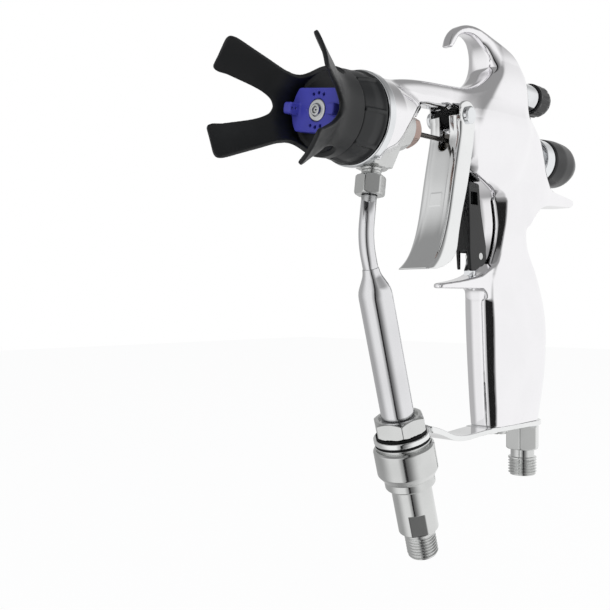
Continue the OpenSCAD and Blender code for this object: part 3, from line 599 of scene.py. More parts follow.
def add_camera():
    """Camera at its stand, its axes built from azimuth, elevation and roll."""
    a, e, r = np.radians([AZIMUTH, ELEVATION, ROLL])
    ahead = np.array([math.cos(a) * math.cos(e), math.sin(a) * math.cos(e), math.sin(e)])
    right = np.array([math.sin(a), -math.cos(a), 0])
    up = np.cross(right, ahead)
    right, up = (right * math.cos(r) + up * math.sin(r), up * math.cos(r) - right * math.sin(r))
    data = bpy.data.cameras.new("camera")
    data.sensor_width = 36
    data.lens = FOCAL / SIDE * data.sensor_width
    data.clip_start, data.clip_end = 0.01, 20
    made = bpy.data.objects.new("camera", data)
    matrix = np.eye(4)
    matrix[:3, 0], matrix[:3, 1], matrix[:3, 2] = right, up, -ahead
    matrix[:3, 3] = STAND * MM
    made.matrix_world = mathutils.Matrix(matrix.tolist())
    bpy.context.scene.collection.objects.link(made)
    bpy.context.scene.camera = made


SCREEN_AZIMUTH = 218.0
BACK_AZIMUTH = 82.0


def add_world():
    """White to the camera and plain pale light on all, with a studio of panels in gloss."""
    world = bpy.data.worlds.new("studio")
    bpy.context.scene.world = world
    world.use_nodes = True
    s = Shader(world.node_tree)
    way = s.node("ShaderNodeTexCoord", out="Generated")
    x, y, z = (s.part(way, axis) for axis in "XYZ")
    azimuth = s.node("ShaderNodeMath", dict(operation="ARCTAN2"), y, x) * (180 / math.pi)
    height = s.node("ShaderNodeMath", dict(operation="ARCSINE"), z) * (180 / math.pi)

    def past(centre):
        """Degrees past an azimuth, from -180 to 180."""
        return s.node("ShaderNodeMath", dict(operation="WRAP"), azimuth - centre, 180.0, -180.0)

    # A black screen with a soft near edge and a long fade, a grey back, ceiling and ground
    turn = past(SCREEN_AZIMUTH)
    near = turn.ramp(-13.0, -4.0).most(turn.ramp(-29.0, -12.0) * 0.45)
    away = turn.ramp(3.0, 11.0, 1.0, 0.0).most(turn.ramp(5.0, 56.0, 0.84, 0.0))
    screen = near * away * 0.985
    back = abs(past(BACK_AZIMUTH)).ramp(22.0, 78.0, 1.0, 0.0) * 0.52
    ceiling = height.ramp(17.0, 42.0) * 0.68
    ground = height.ramp(-78.0, -48.0, 1.0, 0.0) * 0.45
    light = (1.0 - screen.most(back).most(ceiling)) * (1.0 - ground)
    rays = [s.node("ShaderNodeLightPath", None, out=o)
            for o in ("Is Camera Ray", "Is Glossy Ray", "Is Transmission Ray")]
    plain = s.node("ShaderNodeBackground", None, (0.92, 0.93, 0.95, 1), 0.86)
    white = s.node("ShaderNodeBackground", None, (1, 1, 1, 1), 1.0)
    gloss = s.node("ShaderNodeBackground", None, (1, 1, 1, 1), light)
    seen = s.node("ShaderNodeMixShader", None, rays[1], plain, gloss)
    seen = s.node("ShaderNodeMixShader", None, rays[0].most(rays[2]), seen, white)
    s.node("ShaderNodeOutputWorld", None, seen)


def add_lamp(name, at, aim, size, power):
    """Soft square lamp at a place in metres, aimed at a point."""
    data = bpy.data.lights.new(name, "AREA")
    data.shape, data.size, data.energy = "SQUARE", size, power
    made = bpy.data.objects.new(name, data)
    made.visible_glossy = False
    ahead = np.array(aim, float) - at
    ahead /= np.linalg.norm(ahead)
    right = np.cross(ahead, Z)
    right /= np.linalg.norm(right)
    matrix = np.eye(4)
    matrix[:3, 0], matrix[:3, 1], matrix[:3, 2] = right, np.cross(right, ahead), -ahead
    matrix[:3, 3] = at
    made.matrix_world = mathutils.Matrix(matrix.tolist())
    bpy.context.scene.collection.objects.link(made)


def add_floor():
    """Plain pale floor below the hung gun, white to the camera but for its shadow."""
    half, level = 3.0, -0.12
    mesh = bpy.data.meshes.new("floor")
    mesh.from_pydata([(-half, -half, level), (half, -half, level), (half, half, level),
                      (-half, half, level)], [], [(0, 1, 2, 3)])
    floor = bpy.data.objects.new("floor", mesh)
    bpy.context.scene.collection.objects.link(floor)
    made = bpy.data.materials.new("floor, matt white")
    made.use_nodes = True
    s = Shader(made.node_tree)
    paper = s.node("ShaderNodeBsdfDiffuse", None, (0.9, 0.9, 0.9, 1))
    glow = s.node("ShaderNodeEmission", None, (1, 1, 1, 1), 1.0)
    clear = s.node("ShaderNodeBsdfTransparent", None, (1, 1, 1, 1))
    camera, glossy = (s.node("ShaderNodeLightPath", None, out=o)
                      for o in ("Is Camera Ray", "Is Glossy Ray"))
    seen = s.node("ShaderNodeMixShader", None, camera * 0.9, paper, glow)
    s.node("ShaderNodeOutputMaterial", None,
           s.node("ShaderNodeMixShader", None, glossy, seen, clear))
    mesh.materials.append(made)


bpy.context.scene.view_settings.view_transform = "Standard"
add_camera()
add_world()
add_floor()
MIDDLE = (-0.06, 0, 0.09)
add_lamp("key", (-0.9, -0.9, 1.3), MIDDLE, 1.4, 9.0)
add_lamp("fill", (0.6, -1.3, 0.5), MIDDLE, 1.6, 5.0)


# ---- Gun body ----------------------------------------------------------------------------

BODY_FRONT = [[20, -36], [26.3, -36.6], [40, -38], [61, -39.7], [76, -40.6], [88, -40.6],
              [94, -39], [99, -36.2], [104.4, -33.2], [112, -30.8], [117, -30.2],
              [124, -31.4], [130.4, -35.5], [134.5, -44.5], [137, -51], [140, -54],
              [150, -54.6], [160, -53], [170, -45], [179, -38], [188, -33], [196, -31]]
BODY_REAR = [[20, 5.2], [26.3, 6.4], [40, 9.7], [61, 12.6], [76, 11.4], [88, 7.5], [98, 2.4],
             [106, -2.6], [114, -4.2], [120, -3.6], [126, 1], [131, 8.6], [137, 11.9],
             [143, 10.6], [147, 9.2], [152, 7.4], [157, 5], [163, 0.8], [170, -4.6],
             [179, -9.8], [188, -16.8], [196, -25]]
SIDE_FRONT = [[20, -36], [60, -39.7], [90, -40.6], [104, -36], [117, -33.6], [128, -37.4],
              [138, -46], [150, -54.6], [170, -46], [196, -31]]
BODY_HALF = [[20, 8.3], [26.3, 8.6], [45, 9.6], [62, 10], [80, 9.6], [98, 8.2], [114, 7.9],
             [126, 9.6], [137, 11.6], [150, 12.4], [160, 11.4], [170, 9], [179, 8.4],
             [188, 6.6], [196, 4.2]]
HOOK_OUTER = [[-14.8, 184.5], [-21.3, 190.5], [-27.3, 194.8], [-34.2, 198], [-39, 200],
              [-46, 201.4], [-54.9, 200.2], [-60, 197.2], [-63.2, 193.4], [-64.8, 189.2]]
HOOK_INNER = [[-62.1, 189.4], [-60.1, 191.8], [-58.3, 194.3], [-55.6, 196.2],
              [-51.6, 197.2], [-46.8, 197.1], [-42.6, 195.5], [-38.4, 192.6],
              [-34.9, 189.2], [-33.2, 185.5], [-34.2, 182], [-38, 178.6], [-44.2, 175.8],
              [-54.4, 173.6], [-62.8, 172.8], [-76, 171.8], [-97, 169.4], [-112, 166]]
HOOK_WIDTH = [[-66, 2.2], [-60, 2.7], [-52, 3.9], [-44, 5.2], [-36, 6.1], [-14, 6.2]]
BAR_UNDER = [[-115, 134.6], [-112, 137.4], [-106.5, 139.8], [-102, 143.2], [-97.4, 148.6],
             [-93.2, 154.4], [-90, 158.6], [-86, 160.8], [-78, 161.8], [-69, 162.4]]
BAR_HALF = 5.5
SCALLOPS = (41, 61, 82)
# Bores: a point on the axis, its way, the radius, and the stations that it runs between
BODY_BORES = [
    (AXIS, X, 9, -140, -93.7),          # fluid section
    (AXIS, X, 7.2, -96, -84),           # packing nut
    (AXIS, X, 3.5, -70, -20),           # air valve stem
    (AXIS, X, 9, -30, 30),              # spring housing
    (AXIS, X, 11, 5, 40),               # its flange
    (PATTERN_AXIS, X, 5.2, -34, 10),    # pattern seal
    (PATTERN_AXIS, X, 6.65, -14, 10),   # pattern collar
    (PIVOT, Y, 2.5),                    # pivot screw
    (ORIGIN, Z, 5.6, 10, 54),           # air nipple
    ([-22, 0, 0], Z, 2, 10, 42),        # bracket screw
    ([-44, 0, 0], Z, 1.6, 87.4, 97)]    # safety post


def bend_rows(rows, level):
    """Value and slope of a spline of [height, value] rows."""
    return spline(rows, level), (spline(rows, level + 0.1) - spline(rows, level - 0.1)) / 0.2


def body_core():
    """Grip and upper body: flat front, wide bevels, full sides and round back, by height.

    The front is a distance to the front curve, flat over its middle, and each bevel a plane
    that leans from it. The bevel narrows where the front slopes. Behind it the half width
    grows to the side's as 1 - exp(-rise t) over the depth, and the back is an ellipse.
    """
    face, lean, rise, foot, crown = 3.2, math.radians(34), 5, 26.3, 190

    def field(x, y, z):
        front, front_slope = bend_rows(BODY_FRONT, z)
        rear, rear_slope = bend_rows(BODY_REAR, z)
        half = spline(BODY_HALF, z)
        depth = rear - front
        reach = np.minimum(depth * 0.5, half * 1.25)
        before = (front - x) / np.hypot(1, front_slope)
        behind = np.maximum(x - rear + reach, 0) / reach
        round_ = (np.hypot(y / half, behind) - 1) * half
        leaning = 0.55 * rear_slope * np.clip(behind * 2.5 - 0.25, 0, 1)
        round_ = round_ / np.hypot(1, leaning)
        start = spline(SIDE_FRONT, z)
        t = np.clip((x - start) / (rear - start), 0, 1)
        narrow = np.minimum(6.8, 0.75 * half)
        grown = (1 - np.exp(-rise * t)) / (1 - math.exp(-rise))
        slope = (half - narrow) * rise * np.exp(-rise * t) / (rear - start)
        sides = (np.abs(y) - narrow - (half - narrow) * grown) / np.hypot(1, slope)
        roof = np.clip((np.abs(front_slope) - 0.5) / 1.3, 0, 1)
        flat = face + (narrow - 0.9 - face) * roof
        bevel = before * math.cos(lean) + (np.abs(y) - flat) * math.sin(lean)
        solid = common(round_, common(sides, bevel, 0.7), 1.0)
        solid = common(solid, before, 0.9)
        return common(common(solid, foot - z, 0.8), z - crown, 4)
    return field


def finger_rest():
    """Ledge below the trigger finger, an outline in side view cut by one in plan."""
    edge = outline_field(np.concatenate([
        [[-30, 83.6], [-40.6, 83.6]], arc(-44, 84.4, 3.4, 0, 90, 8),
        [[-70.2, 87.8], [-70.9, 88.5], [-70.3, 89.8]],
        through([[-66, 90.3], [-58, 91.2], [-50, 92.5], [-44, 93.9], [-37, 97]], 40),
        [[-28, 100]]]), 0.3)
    plan = outline_field(np.concatenate([
        arc(-68, 0, 2.9, 100, 260, 12),
        [[-60, -3.9], [-52, -4.8], [-44, -6], [-28, -5], [-28, 5], [-44, 6], [-52, 4.8],
         [-60, 3.9]]]))
    return lambda x, y, z: common(edge(x, z), plan(x, y), 1.2)


def hand_rest():
    """Horn over the hand, an outline in side view cut by one in plan."""
    edge = outline_field(np.concatenate([
        through([[-6, 144], [0, 140], [8, 137], [16, 135.3], [28, 134.4], [41.2, 133.5]], 50),
        arc(41.4, 131.7, 1.8, 60, -60, 10),
        through([[39, 129.4], [26, 128.6], [12, 127.8], [2, 125.6], [-4, 121.4], [-8, 118]], 40),
        [[-14, 130]]]))
    plan = outline_field(np.concatenate([
        [[-14, -9], [6, -9.6], [20, -8.4]], arc(36.3, 0, 6.9, -60, 60, 16),
        [[20, 8.4], [6, 9.6], [-14, 9]]]))
    return lambda x, y, z: common(edge(x, z), plan(x, y), 2.4)


def seen_from(origin, axis, across=None):
    """Function that gives a place's three coordinates along an axis and square to it."""
    o, frame_ = np.asarray(origin, float), ring_frame(np.asarray(axis, float), across)
    return lambda x, y, z: [(x - o[0]) * v[0] + (y - o[1]) * v[1] + (z - o[2]) * v[2]
                            for v in frame_]


def spun(outline, step=0.25):
    """Field of a solid of revolution, of its station and its distance from the axis."""
    p = np.asarray(outline, float)
    return outline_field(np.r_[p, p[::-1] * [1, -1]], step, 6)


def prism(p, q, across, sides=6, turn=0.0, edge=0.3):
    """Field of a prism with a regular outline, across its flats."""
    angles = np.radians(turn + np.arange(sides) * 360 / sides)
    f = p * math.cos(angles[0]) + q * math.sin(angles[0]) - across / 2
    for a in angles[1:]:
        f = common(f, p * math.cos(a) + q * math.sin(a) - across / 2, edge)
    return f


def rod(origin, axis, radius, low=None, high=None):
    """Field of a round bar along an axis, in stations measured from its origin."""
    o, a = np.asarray(origin, float), np.asarray(axis, float) / np.linalg.norm(axis)

    def field(x, y, z):
        s = (x - o[0]) * a[0] + (y - o[1]) * a[1] + (z - o[2]) * a[2]
        r2 = (x - o[0])**2 + (y - o[1])**2 + (z - o[2])**2 - s * s
        d = np.sqrt(np.maximum(r2, 0)) - radius
        if low is not None:
            d = np.maximum(d, low - s)
        if high is not None:
            d = np.maximum(d, s - high)
        return d
    return field


def gun_body_field():
    """The body: core, bar with hook, round head and the two rests, less its bores."""
    core, ledge, horn = body_core(), finger_rest(), hand_rest()
    under = through(BAR_UNDER, 120)
    plate = outline_field(np.concatenate([
        through(HOOK_OUTER, 140), through(HOOK_INNER, 220), under[12:],
        arc(*PIVOT[[0, 2]], 3.6, 160, 290, 20),
        [[-56, 154], [-56, 143], [-30, 140], [-20, 160]]]), 0.4)
    arch = outline_field(np.concatenate([
        [[-60, 220], [-140, 220], [-140, 120], [-116, 120]], under, [[-60, 164]]]), 0.4)
    bell = outline_field([[-120.9, -20], [-120.9, 16.6], [-113, 16.6], [-104, 15],
                          [-92, 11.4], [-84, 6], [-84, -20]], 0.4)
    neck = rod(AXIS, X, 5.2, -56, -44)
    lug = rod(PIVOT, Y, 3.6, -4.7, 4.7)
    bores = [rod(*bore) for bore in BODY_BORES]

    def field(x, y, z):
        wide = spline(HOOK_WIDTH, x) - BAR_HALF
        grown = 3.4 * np.clip((x + 66) / 46, 0, 1)
        half = BAR_HALF + grown + (wide - grown) * np.clip((z - 164) / 24, 0, 1)
        edge = np.clip(half * 0.7, 1.2, 4.2)
        f = join(core(x, y, z), slab(plate(x, z), y, half, edge), 12)
        r = np.hypot(y, z - SPRAY_Z)
        back = x + 1.25 * np.maximum(np.abs(y) - BAR_HALF, 0)
        head = common(bell(x, r), arch(back, z), 0.9)
        f = join(f, head, 3)
        f = join(f, neck(x, y, z), 2.5)
        f = join(f, lug(x, y, z), 1)
        f = join(f, ledge(x, y, z), 2.2)
        f = join(f, horn(x, y, z), 4)
        slot = np.maximum(np.maximum(np.abs(y) - 6.4, z - SPRAY_Z), x + 97.9)
        f = cut(f, slot, 0.5)
        for bore in bores:
            f = cut(f, bore(x, y, z), 0.5)
        for level in SCALLOPS:
            away = 10.7 - np.clip(x - 4, 0, 12) * 0.42 + np.clip(4 - x, 0, 20) * 0.2
            f = cut(f, np.hypot(z - level, np.abs(y) - away) - 1.3, 0.6)
        return f
    return field


skinned("gun_body_skin", gun_body_field(), (1.2, 0.66), "body_chrome", "gun", "gun_body")

# ---- Trigger -----------------------------------------------------------------------------

WEB_FRONT = [[-66.4, 168], [-65.4, 160], [-65.2, 153.4], [-66.2, 148], [-68.2, 140],
             [-70.6, 130], [-72.8, 120.4], [-75, 112.8], [-77.7, 106.4], [-81.2, 101],
             [-84.4, 98], [-87.6, 95.9], [-92, 93.4]]
FLANGE_REAR = [[-73, 98.6], [-69, 102.4], [-67.5, 107.4], [-66.4, 112.5], [-64, 120.6],
               [-61, 129.5], [-58.6, 138.5], [-56.2, 148]]


def trigger_field():
    """Bent sheet: the wall between a rounded solid and the same one moved in by the wall.

    The solid lies behind the front curve and between the flanges. Its outline in side
    view, the needle's slot and the open top are then cut.
    """
    wall, half, bend = 1.4, 8.5, 3.2
    curve = through(WEB_FRONT, 160)
    front = outline_field(np.concatenate([curve, [[-20, 88], [-20, 172]]]), 0.4)
    side = outline_field(np.concatenate([
        through([[-66.4, 158.4], [-65.6, 156]] + WEB_FRONT[2:12], 120),
        [[-87, 95.2], [-83, 95.4], [-78, 96.4]], through(FLANGE_REAR, 60),
        arc(*PIVOT[[0, 2]], 6.2, -20, 200, 40)]), 0.4)
    pin, boss = rod(PIVOT, Y, 2.46), rod(PIVOT, Y, 4.6, -7.6, 7.6)
    tab = outline_field([[-72, 122], [-63.8, 123.4], [-63.8, 126.4], [-71, 127]], 0.3)

    def field(x, y, z):
        crown = 0.6 * np.clip(1 - (y / 4.6)**2, 0, 1)
        ahead = front(x, z) - crown * np.clip((z - 96) / 8, 0, 1)
        solid = common(ahead, np.abs(y) - half, bend)
        inner = common(front(x, z), np.abs(y) - half, bend) + wall
        sheet = common(solid, -inner, 0.25)
        sheet = common(sheet, side(x, z), 0.5)
        sheet = join(sheet, np.maximum(boss(x, y, z), 5.7 - np.abs(y)), 0.4)
        sheet = join(sheet, slab(tab(x, z), y, 2.5, 0.3), 0.6)
        slot = np.maximum(np.hypot(y, np.minimum(z - 147.8, 0)) - 2.4, x + 58)
        sheet = cut(sheet, slot, 0.4)
        sheet = cut(sheet, np.maximum(160 - z, np.abs(y) - half + wall), 0.3)
        return cut(sheet, pin(x, y, z), 0.3)
    return field


skinned("trigger_skin", trigger_field(), (0.8, 0.36), "trigger_chrome", "trigger", "trigger",
        wider=np.array([1, 3, 1]))

# ---- Spray head --------------------------------------------------------------------------


def about_cap(x, y, z):
    """Place in the frame of the turned air cap."""
    a = math.radians(CAP_TURN)
    h = z - SPRAY_Z
    return x, y * math.cos(a) + h * math.sin(a), h * math.cos(a) - y * math.sin(a)


turned("head_ring_rim", [
    [-124.8, 14.2, 0.2], [-124.8, 17.9, 0.7], [-120.9, 17.9, 0.9], [-120.9, 9, 0.2],
    [-123.5, 9, 0], [-123.5, 5, 0], [-132, 5, 0.2], [-132, 8.4, 0.1], [-134.4, 8.4, 0.1],
    [-134.4, 10.4, 0.2], [-132.2, 10.4, 0.1], [-132.2, 14.2, 0.3]],
       AXIS, X, "collar_chrome", "gun", "head_ring", sides=160)


def nut_radius(s, r, t):
    """Eight grips round the nut: shallow hollows between narrow ribs, away from its ends."""
    turn = np.degrees(t) - 2
    off = (turn + 22.5) % 45 - 22.5
    hollow = np.clip((np.abs(off) - 1.2) / 2.6, 0, 1)
    hollow = hollow * hollow * (3 - 2 * hollow)
    along = np.clip((-126.3 - s) / 0.8, 0, 1) * np.clip((s + 137.6) / 0.8, 0, 1)
    return np.where(r > 15.4, r - 0.75 * hollow * along, r)


turned("retaining_nut_grips", [
    [-125.05, 14.26, 0.1], [-125.05, 16.8, 0.4], [-125.7, 17.4, 0.5], [-131, 17.2, 4],
    [-136.2, 16.2, 0.8], [-136.2, 13.2, 0.3], [-135.2, 13.2, 0], [-135.2, 14.26, 0]],
       AXIS, X, "nut_black", "retaining_nut", "retaining_nut", sides=480, fine=0.5,
       radius=nut_radius, across=Z)

BELL = [[-137, 16.1], [-141, 16.25], [-145, 16.6], [-149.5, 17.8], [-155, 20.9],
        [-160.5, 24.1], [-170.5, 30.1], [-174, 32.2]]
NOTCH = [[17.4, 0], [17.9, 2.4], [18.9, 4.2], [20.3, 5.6], [22, 6.8], [23.7, 7.8],
         [25.6, 8.9]]
EAR_HALF = 47.6


def guard_field():
    """Flared shell of even wall, cut square to itself into four arms and a scooped rim."""
    a = math.radians(EAR_HALF)
    bell = through(BELL, 90)
    way = np.gradient(bell, axis=0)
    way /= np.linalg.norm(way, axis=1)[:, None]
    wall = np.interp(-bell[:, :1], [150, 171], [2.0, 1.5])
    inner = bell + wall * np.c_[-way[:, 1], way[:, 0]]
    inner = inner[inner[:, 0] < -140.4]
    shell = spun(np.concatenate([
        [[-133.4, 12.55], [-133.4, 14.1], [-135.1, 14.1], [-135.1, 13.14], [-136.5, 13.14],
         [-136.5, 15.5]], bell, inner[::-1], [[-140.4, 12.55]]]), 0.2)
    level = np.r_[bell, [[-190, 41.6]]]
    crotch = through(NOTCH, 40)
    quarter = np.concatenate([
        crotch, arc(26.2, 10.9, 1.9, -60, 15, 8), arc(20.6, 18.2, 3, 35, 90 + EAR_HALF, 12),
        [[12, 12 * math.tan(a)], [12, 40]]])
    front = outline_field(np.concatenate([
        quarter, quarter[::-1] * [-1, 1], quarter * [-1, -1], quarter[::-1] * [1, -1]]), 0.3, 8)

    def field(x, y, z):
        x, u, v = about_cap(x, y, z)
        r = np.maximum(np.hypot(u, v), 1e-6)
        solid = shell(x, r)
        depth = np.clip(np.interp(-x, -level[:, 0], level[:, 1]) - r, -1, 4)
        k = (r + depth * np.clip((-147 - x) / 4, 0, 1) * 0.74) / r
        tip = (-170.5 - x) * 0.857 + (r - 30.1) * 0.515
        gap = np.abs(v) * math.cos(a) - np.abs(u) * math.sin(a)
        ears = common(common(front(u * k, v * k), tip, 1.2), join(gap, -141 - x, 7), 0.5)
        return common(solid, ears, 0.55)
    return field


skinned("tip_guard_bell", guard_field(), (0.8, 0.42), "guard_black", "spray_cap",
        "tip_guard")


def cap_field():
    """Flanged disc with a raised bar, two horns, the tip's hole and its ports."""
    disc = spun([[-134.6, 5.65], [-134.6, 12.4], [-139.2, 12.4], [-140, 11.2], [-140, 4.05],
                 [-137.4, 4.05], [-137.4, 5.65]], 0.2)
    ports = [(6 * math.sin(math.radians(t)), 6 * math.cos(math.radians(t)))
             for t in (-24, 0, 24, 156, 180, 204)]

    def field(x, y, z):
        x, u, v = about_cap(x, y, z)
        r = np.hypot(u, v)
        solid = disc(x, r)
        bar = common(common(r - 12.5, np.abs(v) - 7.8, 0.5),
                     np.maximum(-144.2 - x, x + 139.5), 0.5)
        horn = common(common(r - 12.3, 8.4 - np.abs(u), 0.6), np.abs(v) - 2.1, 0.9)
        horn = common(horn, np.maximum(-149 - x, x + 143.5), 0.9)
        solid = join(join(solid, bar, 0.6), horn, 0.8)
        solid = cut(solid, np.maximum(r - 4.05, x + 137.4), 0.4)
        for pu, pv in ports:
            hole = np.maximum(np.hypot(u - pu, v - pv) - 0.62, x + 141)
            solid = cut(solid, hole, 0.2)
        for level in (-147.8, -146.2):
            jet = np.hypot(x - level + 0.5 * (np.abs(u) - 8.4), v) - 0.45
            solid = cut(solid, np.maximum(jet, np.abs(u) - 9.4), 0.15)
        return solid
    return field


skinned("air_cap_face", cap_field(), (0.6, 0.27), "cap_blue", "spray_cap",
        "air_cap")

turned("spray_tip_disc", [
    [-135.6, 1, 0], [-135.6, 5.6, 0.1], [-137.4, 5.6, 0.1], [-137.4, 4, 0.1],
    [-144.4, 4, 0.5], [-144.4, 2.3, 0.25], [-145.4, 2.05, 0.35], [-145.4, 1.3, 0.2],
    [-144.7, 0.9, 0.1], [-144.7, 0.35, 0.05], [-141, 0.35, 0], [-141, 1, 0]],
       AXIS, X, "tip_metal", "spray_cap", "spray_tip", sides=96)

# ---- Fluid section -----------------------------------------------------------------------


def fluid_section_field():
    """Barrel in the head with a block below it, its inlet boss and the boss's male end."""
    block = outline_field([[-120, SPRAY_Z], [-119.4, 133.6], [-108.4, 132.6], [-103, 141.2],
                           [-97, 143.2], [-96.6, SPRAY_Z]], 0.3)
    wide = rod(BOSS_TOP, BOSS_DOWN, 6, 0, 17.4)
    male = rod(BOSS_TOP, BOSS_DOWN, 3.9, 0, 22.2)
    bore = rod(BOSS_TOP, BOSS_DOWN, 2, 0, 24)
    down = seen_from(BOSS_TOP, BOSS_DOWN)

    def field(x, y, z):
        r = np.hypot(y, z - SPRAY_Z)
        f = common(r - 8.6, np.maximum(-123.4 - x, x + 96.6), 0.5)
        f = join(f, slab(block(x, z), y, 6.3, 1.0), 0.6)
        f = join(f, wide(x, y, z), 0.8)
        s, _, _ = down(x, y, z)
        f = join(f, male(x, y, z) + 0.28 * (np.sin(s * 2 * np.pi / 1.0) * 0.5 + 0.5), 0.4)
        for hole in (np.maximum(r - 5.05, x + 116), np.maximum(r - 2.6, x + 94),
                     np.maximum(r - 4.2, -101 - x), bore(x, y, z)):
            f = cut(f, hole, 0.2)
        return f
    return field


skinned("fluid_section_cast", fluid_section_field(), (0.8, 0.38), "fluid_stainless", "gun",
        "fluid_section")


def hexagon_nut(name, origin, axis, outline, across, turn, bore, edge, finish, body, node,
                steps, across_dir=None, recess=None):
    """Hexagon nut or a bar's hexagon: a lathe outline in common with a prism, less a bore."""
    place = seen_from(origin, axis, across_dir)
    blank = spun(outline, 0.2)

    def field(x, y, z):
        s, p, q = place(x, y, z)
        r = np.hypot(p, q)
        f = common(blank(s, r), prism(p, q, across, 6, turn, edge), 0.25)
        f = cut(f, r - bore, 0.2)
        if recess:
            f = cut(f, np.maximum(r - recess[1], recess[0] - s), 0.2)
        return f
    return skinned(name, field, steps, finish, body, node)


hexagon_nut("packing_nut_hexagon", AXIS, X,
            [[-99.6, 0], [-99.6, 4.1], [-95.9, 4.1], [-95.9, 6.9], [-91, 6.9], [-88.7, 5.2],
             [-88.7, 0]], 12, 0, 1.06, 0.3, "bronze", "gun", "packing_nut",
            (0.5, 0.26), Z)

hexagon_nut("tube_nut_hexagon", BOSS_TOP, BOSS_DOWN,
            [[20.4, 0], [20.4, 5.4], [21.2, 6.2], [27, 6.2], [27.8, 5.4], [27.8, 0]],
            10.4, 12, 3.05, 0.35, "fluid_stainless", "gun", "tube_nut",
            (0.5, 0.26))

# ---- Fluid tube, filter and swivel -------------------------------------------------------

FILTER_LEAN = math.degrees(math.atan2(-FILTER_UP[0], FILTER_UP[2]))


def tube_path(radius=30, start=22.4, end=114.6):
    """Centre line and its way: down the boss, round the bend and down the filter's axis."""
    a, b = math.radians(BOSS_LEAN), math.radians(FILTER_LEAN)
    gap = BOSS_TOP - FILTER_FOOT
    s = (math.cos(b) * gap[0] + math.sin(b) * gap[2]) / math.sin(a + b)
    corner = BOSS_TOP + BOSS_DOWN * s
    reach = radius * math.tan((a + b) / 2)
    centre = corner - BOSS_DOWN * reach + radius * np.array([math.cos(a), 0, -math.sin(a)])
    turn = np.linspace(math.pi - a, math.pi + b, 20)
    bend = centre + radius * np.stack([np.cos(turn), 0 * turn, np.sin(turn)], 1)
    first = BOSS_TOP + BOSS_DOWN * start
    last = FILTER_FOOT + FILTER_UP * end
    way = np.stack([-np.sin(turn), 0 * turn, np.cos(turn)], 1)
    return (np.concatenate([[first], bend, [last]]),
            np.concatenate([[BOSS_DOWN], way, [-FILTER_UP]]))


def swept(name, path, way, radius, finish, body, node, sides=48):
    """Round bar along a path in the XZ plane, square to its way, with closed ends."""
    side = np.cross(way, Y)
    t = np.linspace(0, 2 * np.pi, sides, endpoint=False)[None, :, None]
    points = path[:, None] + radius * (np.cos(t) * side[:, None] + np.sin(t) * Y)
    ends = [np.repeat(path[k][None, None], sides, 1) for k in (0, -1)]
    points = np.concatenate([ends[0], points, ends[1]])
    return piece(name, points, grid_quads(len(points), sides), finish, body, node)


swept("fluid_tube_bent", *tube_path(), 2.98, "tube_steel", "gun", "fluid_tube")

turned("filter_housing_tube", [
    [56.8, 5.4, 0], [56.8, 6.6, 0.1], [114.6, 6.6, 9], [121, 3.5, 7], [123.4, 3.2, 0.3],
    [123.4, 3.01, 0], [114, 3.01, 0], [114, 5.4, 0]],
       FILTER_FOOT, FILTER_UP, "tube_steel", "gun", "filter_housing", sides=96)

hexagon_nut("housing_nut_hexagon", FILTER_FOOT, FILTER_UP,
            [[56.7, 0], [56.7, 9.8], [57.7, 11], [62.1, 11], [63.3, 9.2], [63.3, 0]],
            19, 13, 6.61, 0.4, "stainless", "gun", "housing_nut",
            (0.7, 0.36), None, (62.3, 7.8))

turned("swivel_body_cup", [
    [34, 8.21, 0.2], [34, 9.9, 0.5], [34.6, 10.2, 0.3], [37.4, 10.2, 0.8], [40.4, 12.3, 1.2],
    [50.4, 12.3, 0.8], [51.2, 11.4, 0.3], [51.2, 10.4, 0.1], [52.1, 10.4, 0.1],
    [52.1, 11.2, 0.15], [52.6, 11.2, 0.15], [52.6, 7.6, 0.1], [56.6, 7.6, 0.1],
    [56.6, 4.4, 0], [44, 4.4, 0], [44, 8.21, 0], [39.55, 8.21, 0], [39.55, 9.2, 0],
    [38.35, 9.2, 0], [38.35, 8.21, 0]], FILTER_FOOT, FILTER_UP, "stainless", "gun",
       "swivel_body", sides=128)


def vee(s, t, pitch, depth, low, high):
    """Depth of a helical thread's groove, flat at its crest and root, faded at its ends."""
    turn = (s / pitch - t / (2 * math.pi)) % 1
    groove = np.clip(np.abs(turn - 0.5) * 2.6 - 0.15, 0, 1)
    ends = np.clip((s - low) / pitch + 0.6, 0, 1) * np.clip((high - s) / pitch, 0, 1)
    return depth * (1 - groove) * ends


def inlet_radius(s, r, t):
    """Thread at the inlet's end, and two spanner flats above it."""
    flat = 7.4 / np.maximum(np.abs(np.cos(t - math.radians(40))), 0.2)
    flat = np.where((s > 14.5) & (s < 23.5), np.minimum(r, np.maximum(flat, 7.4)), r)
    thread = np.where(r > 5.6, vee(s, t, 1.27, 0.72, 3.4, 13), 0)
    return np.where(r > 5.4, flat - thread, r)


turned("fluid_inlet_stem", [
    [3, 5.3, 0.1], [3, 5.6, 0.2], [4, 6.35, 0.2], [13.4, 6.35, 0.3], [14.6, 8.15, 0.3],
    [38.3, 8.15, 0.1], [38.3, 7.4, 0], [39.6, 7.4, 0], [39.6, 8.15, 0], [41.4, 8.15, 0.2],
    [41.4, 5.2, 0], [43.8, 5.2, 0.1], [43.8, 3.2, 0.1], [5, 3.2, 0]],
       FILTER_FOOT, FILTER_UP, "stainless", "fluid_inlet", "fluid_inlet", sides=144,
       fine=0.16, radius=inlet_radius)

# ---- Air inlet and bracket ---------------------------------------------------------------


def nipple_radius(s, r, t):
    """Thread of the air inlet."""
    return np.where(r > 5.4, r - np.where(s < 8.7, vee(s, t, 1.337, 0.8, 0.5, 8.3), 0), r)


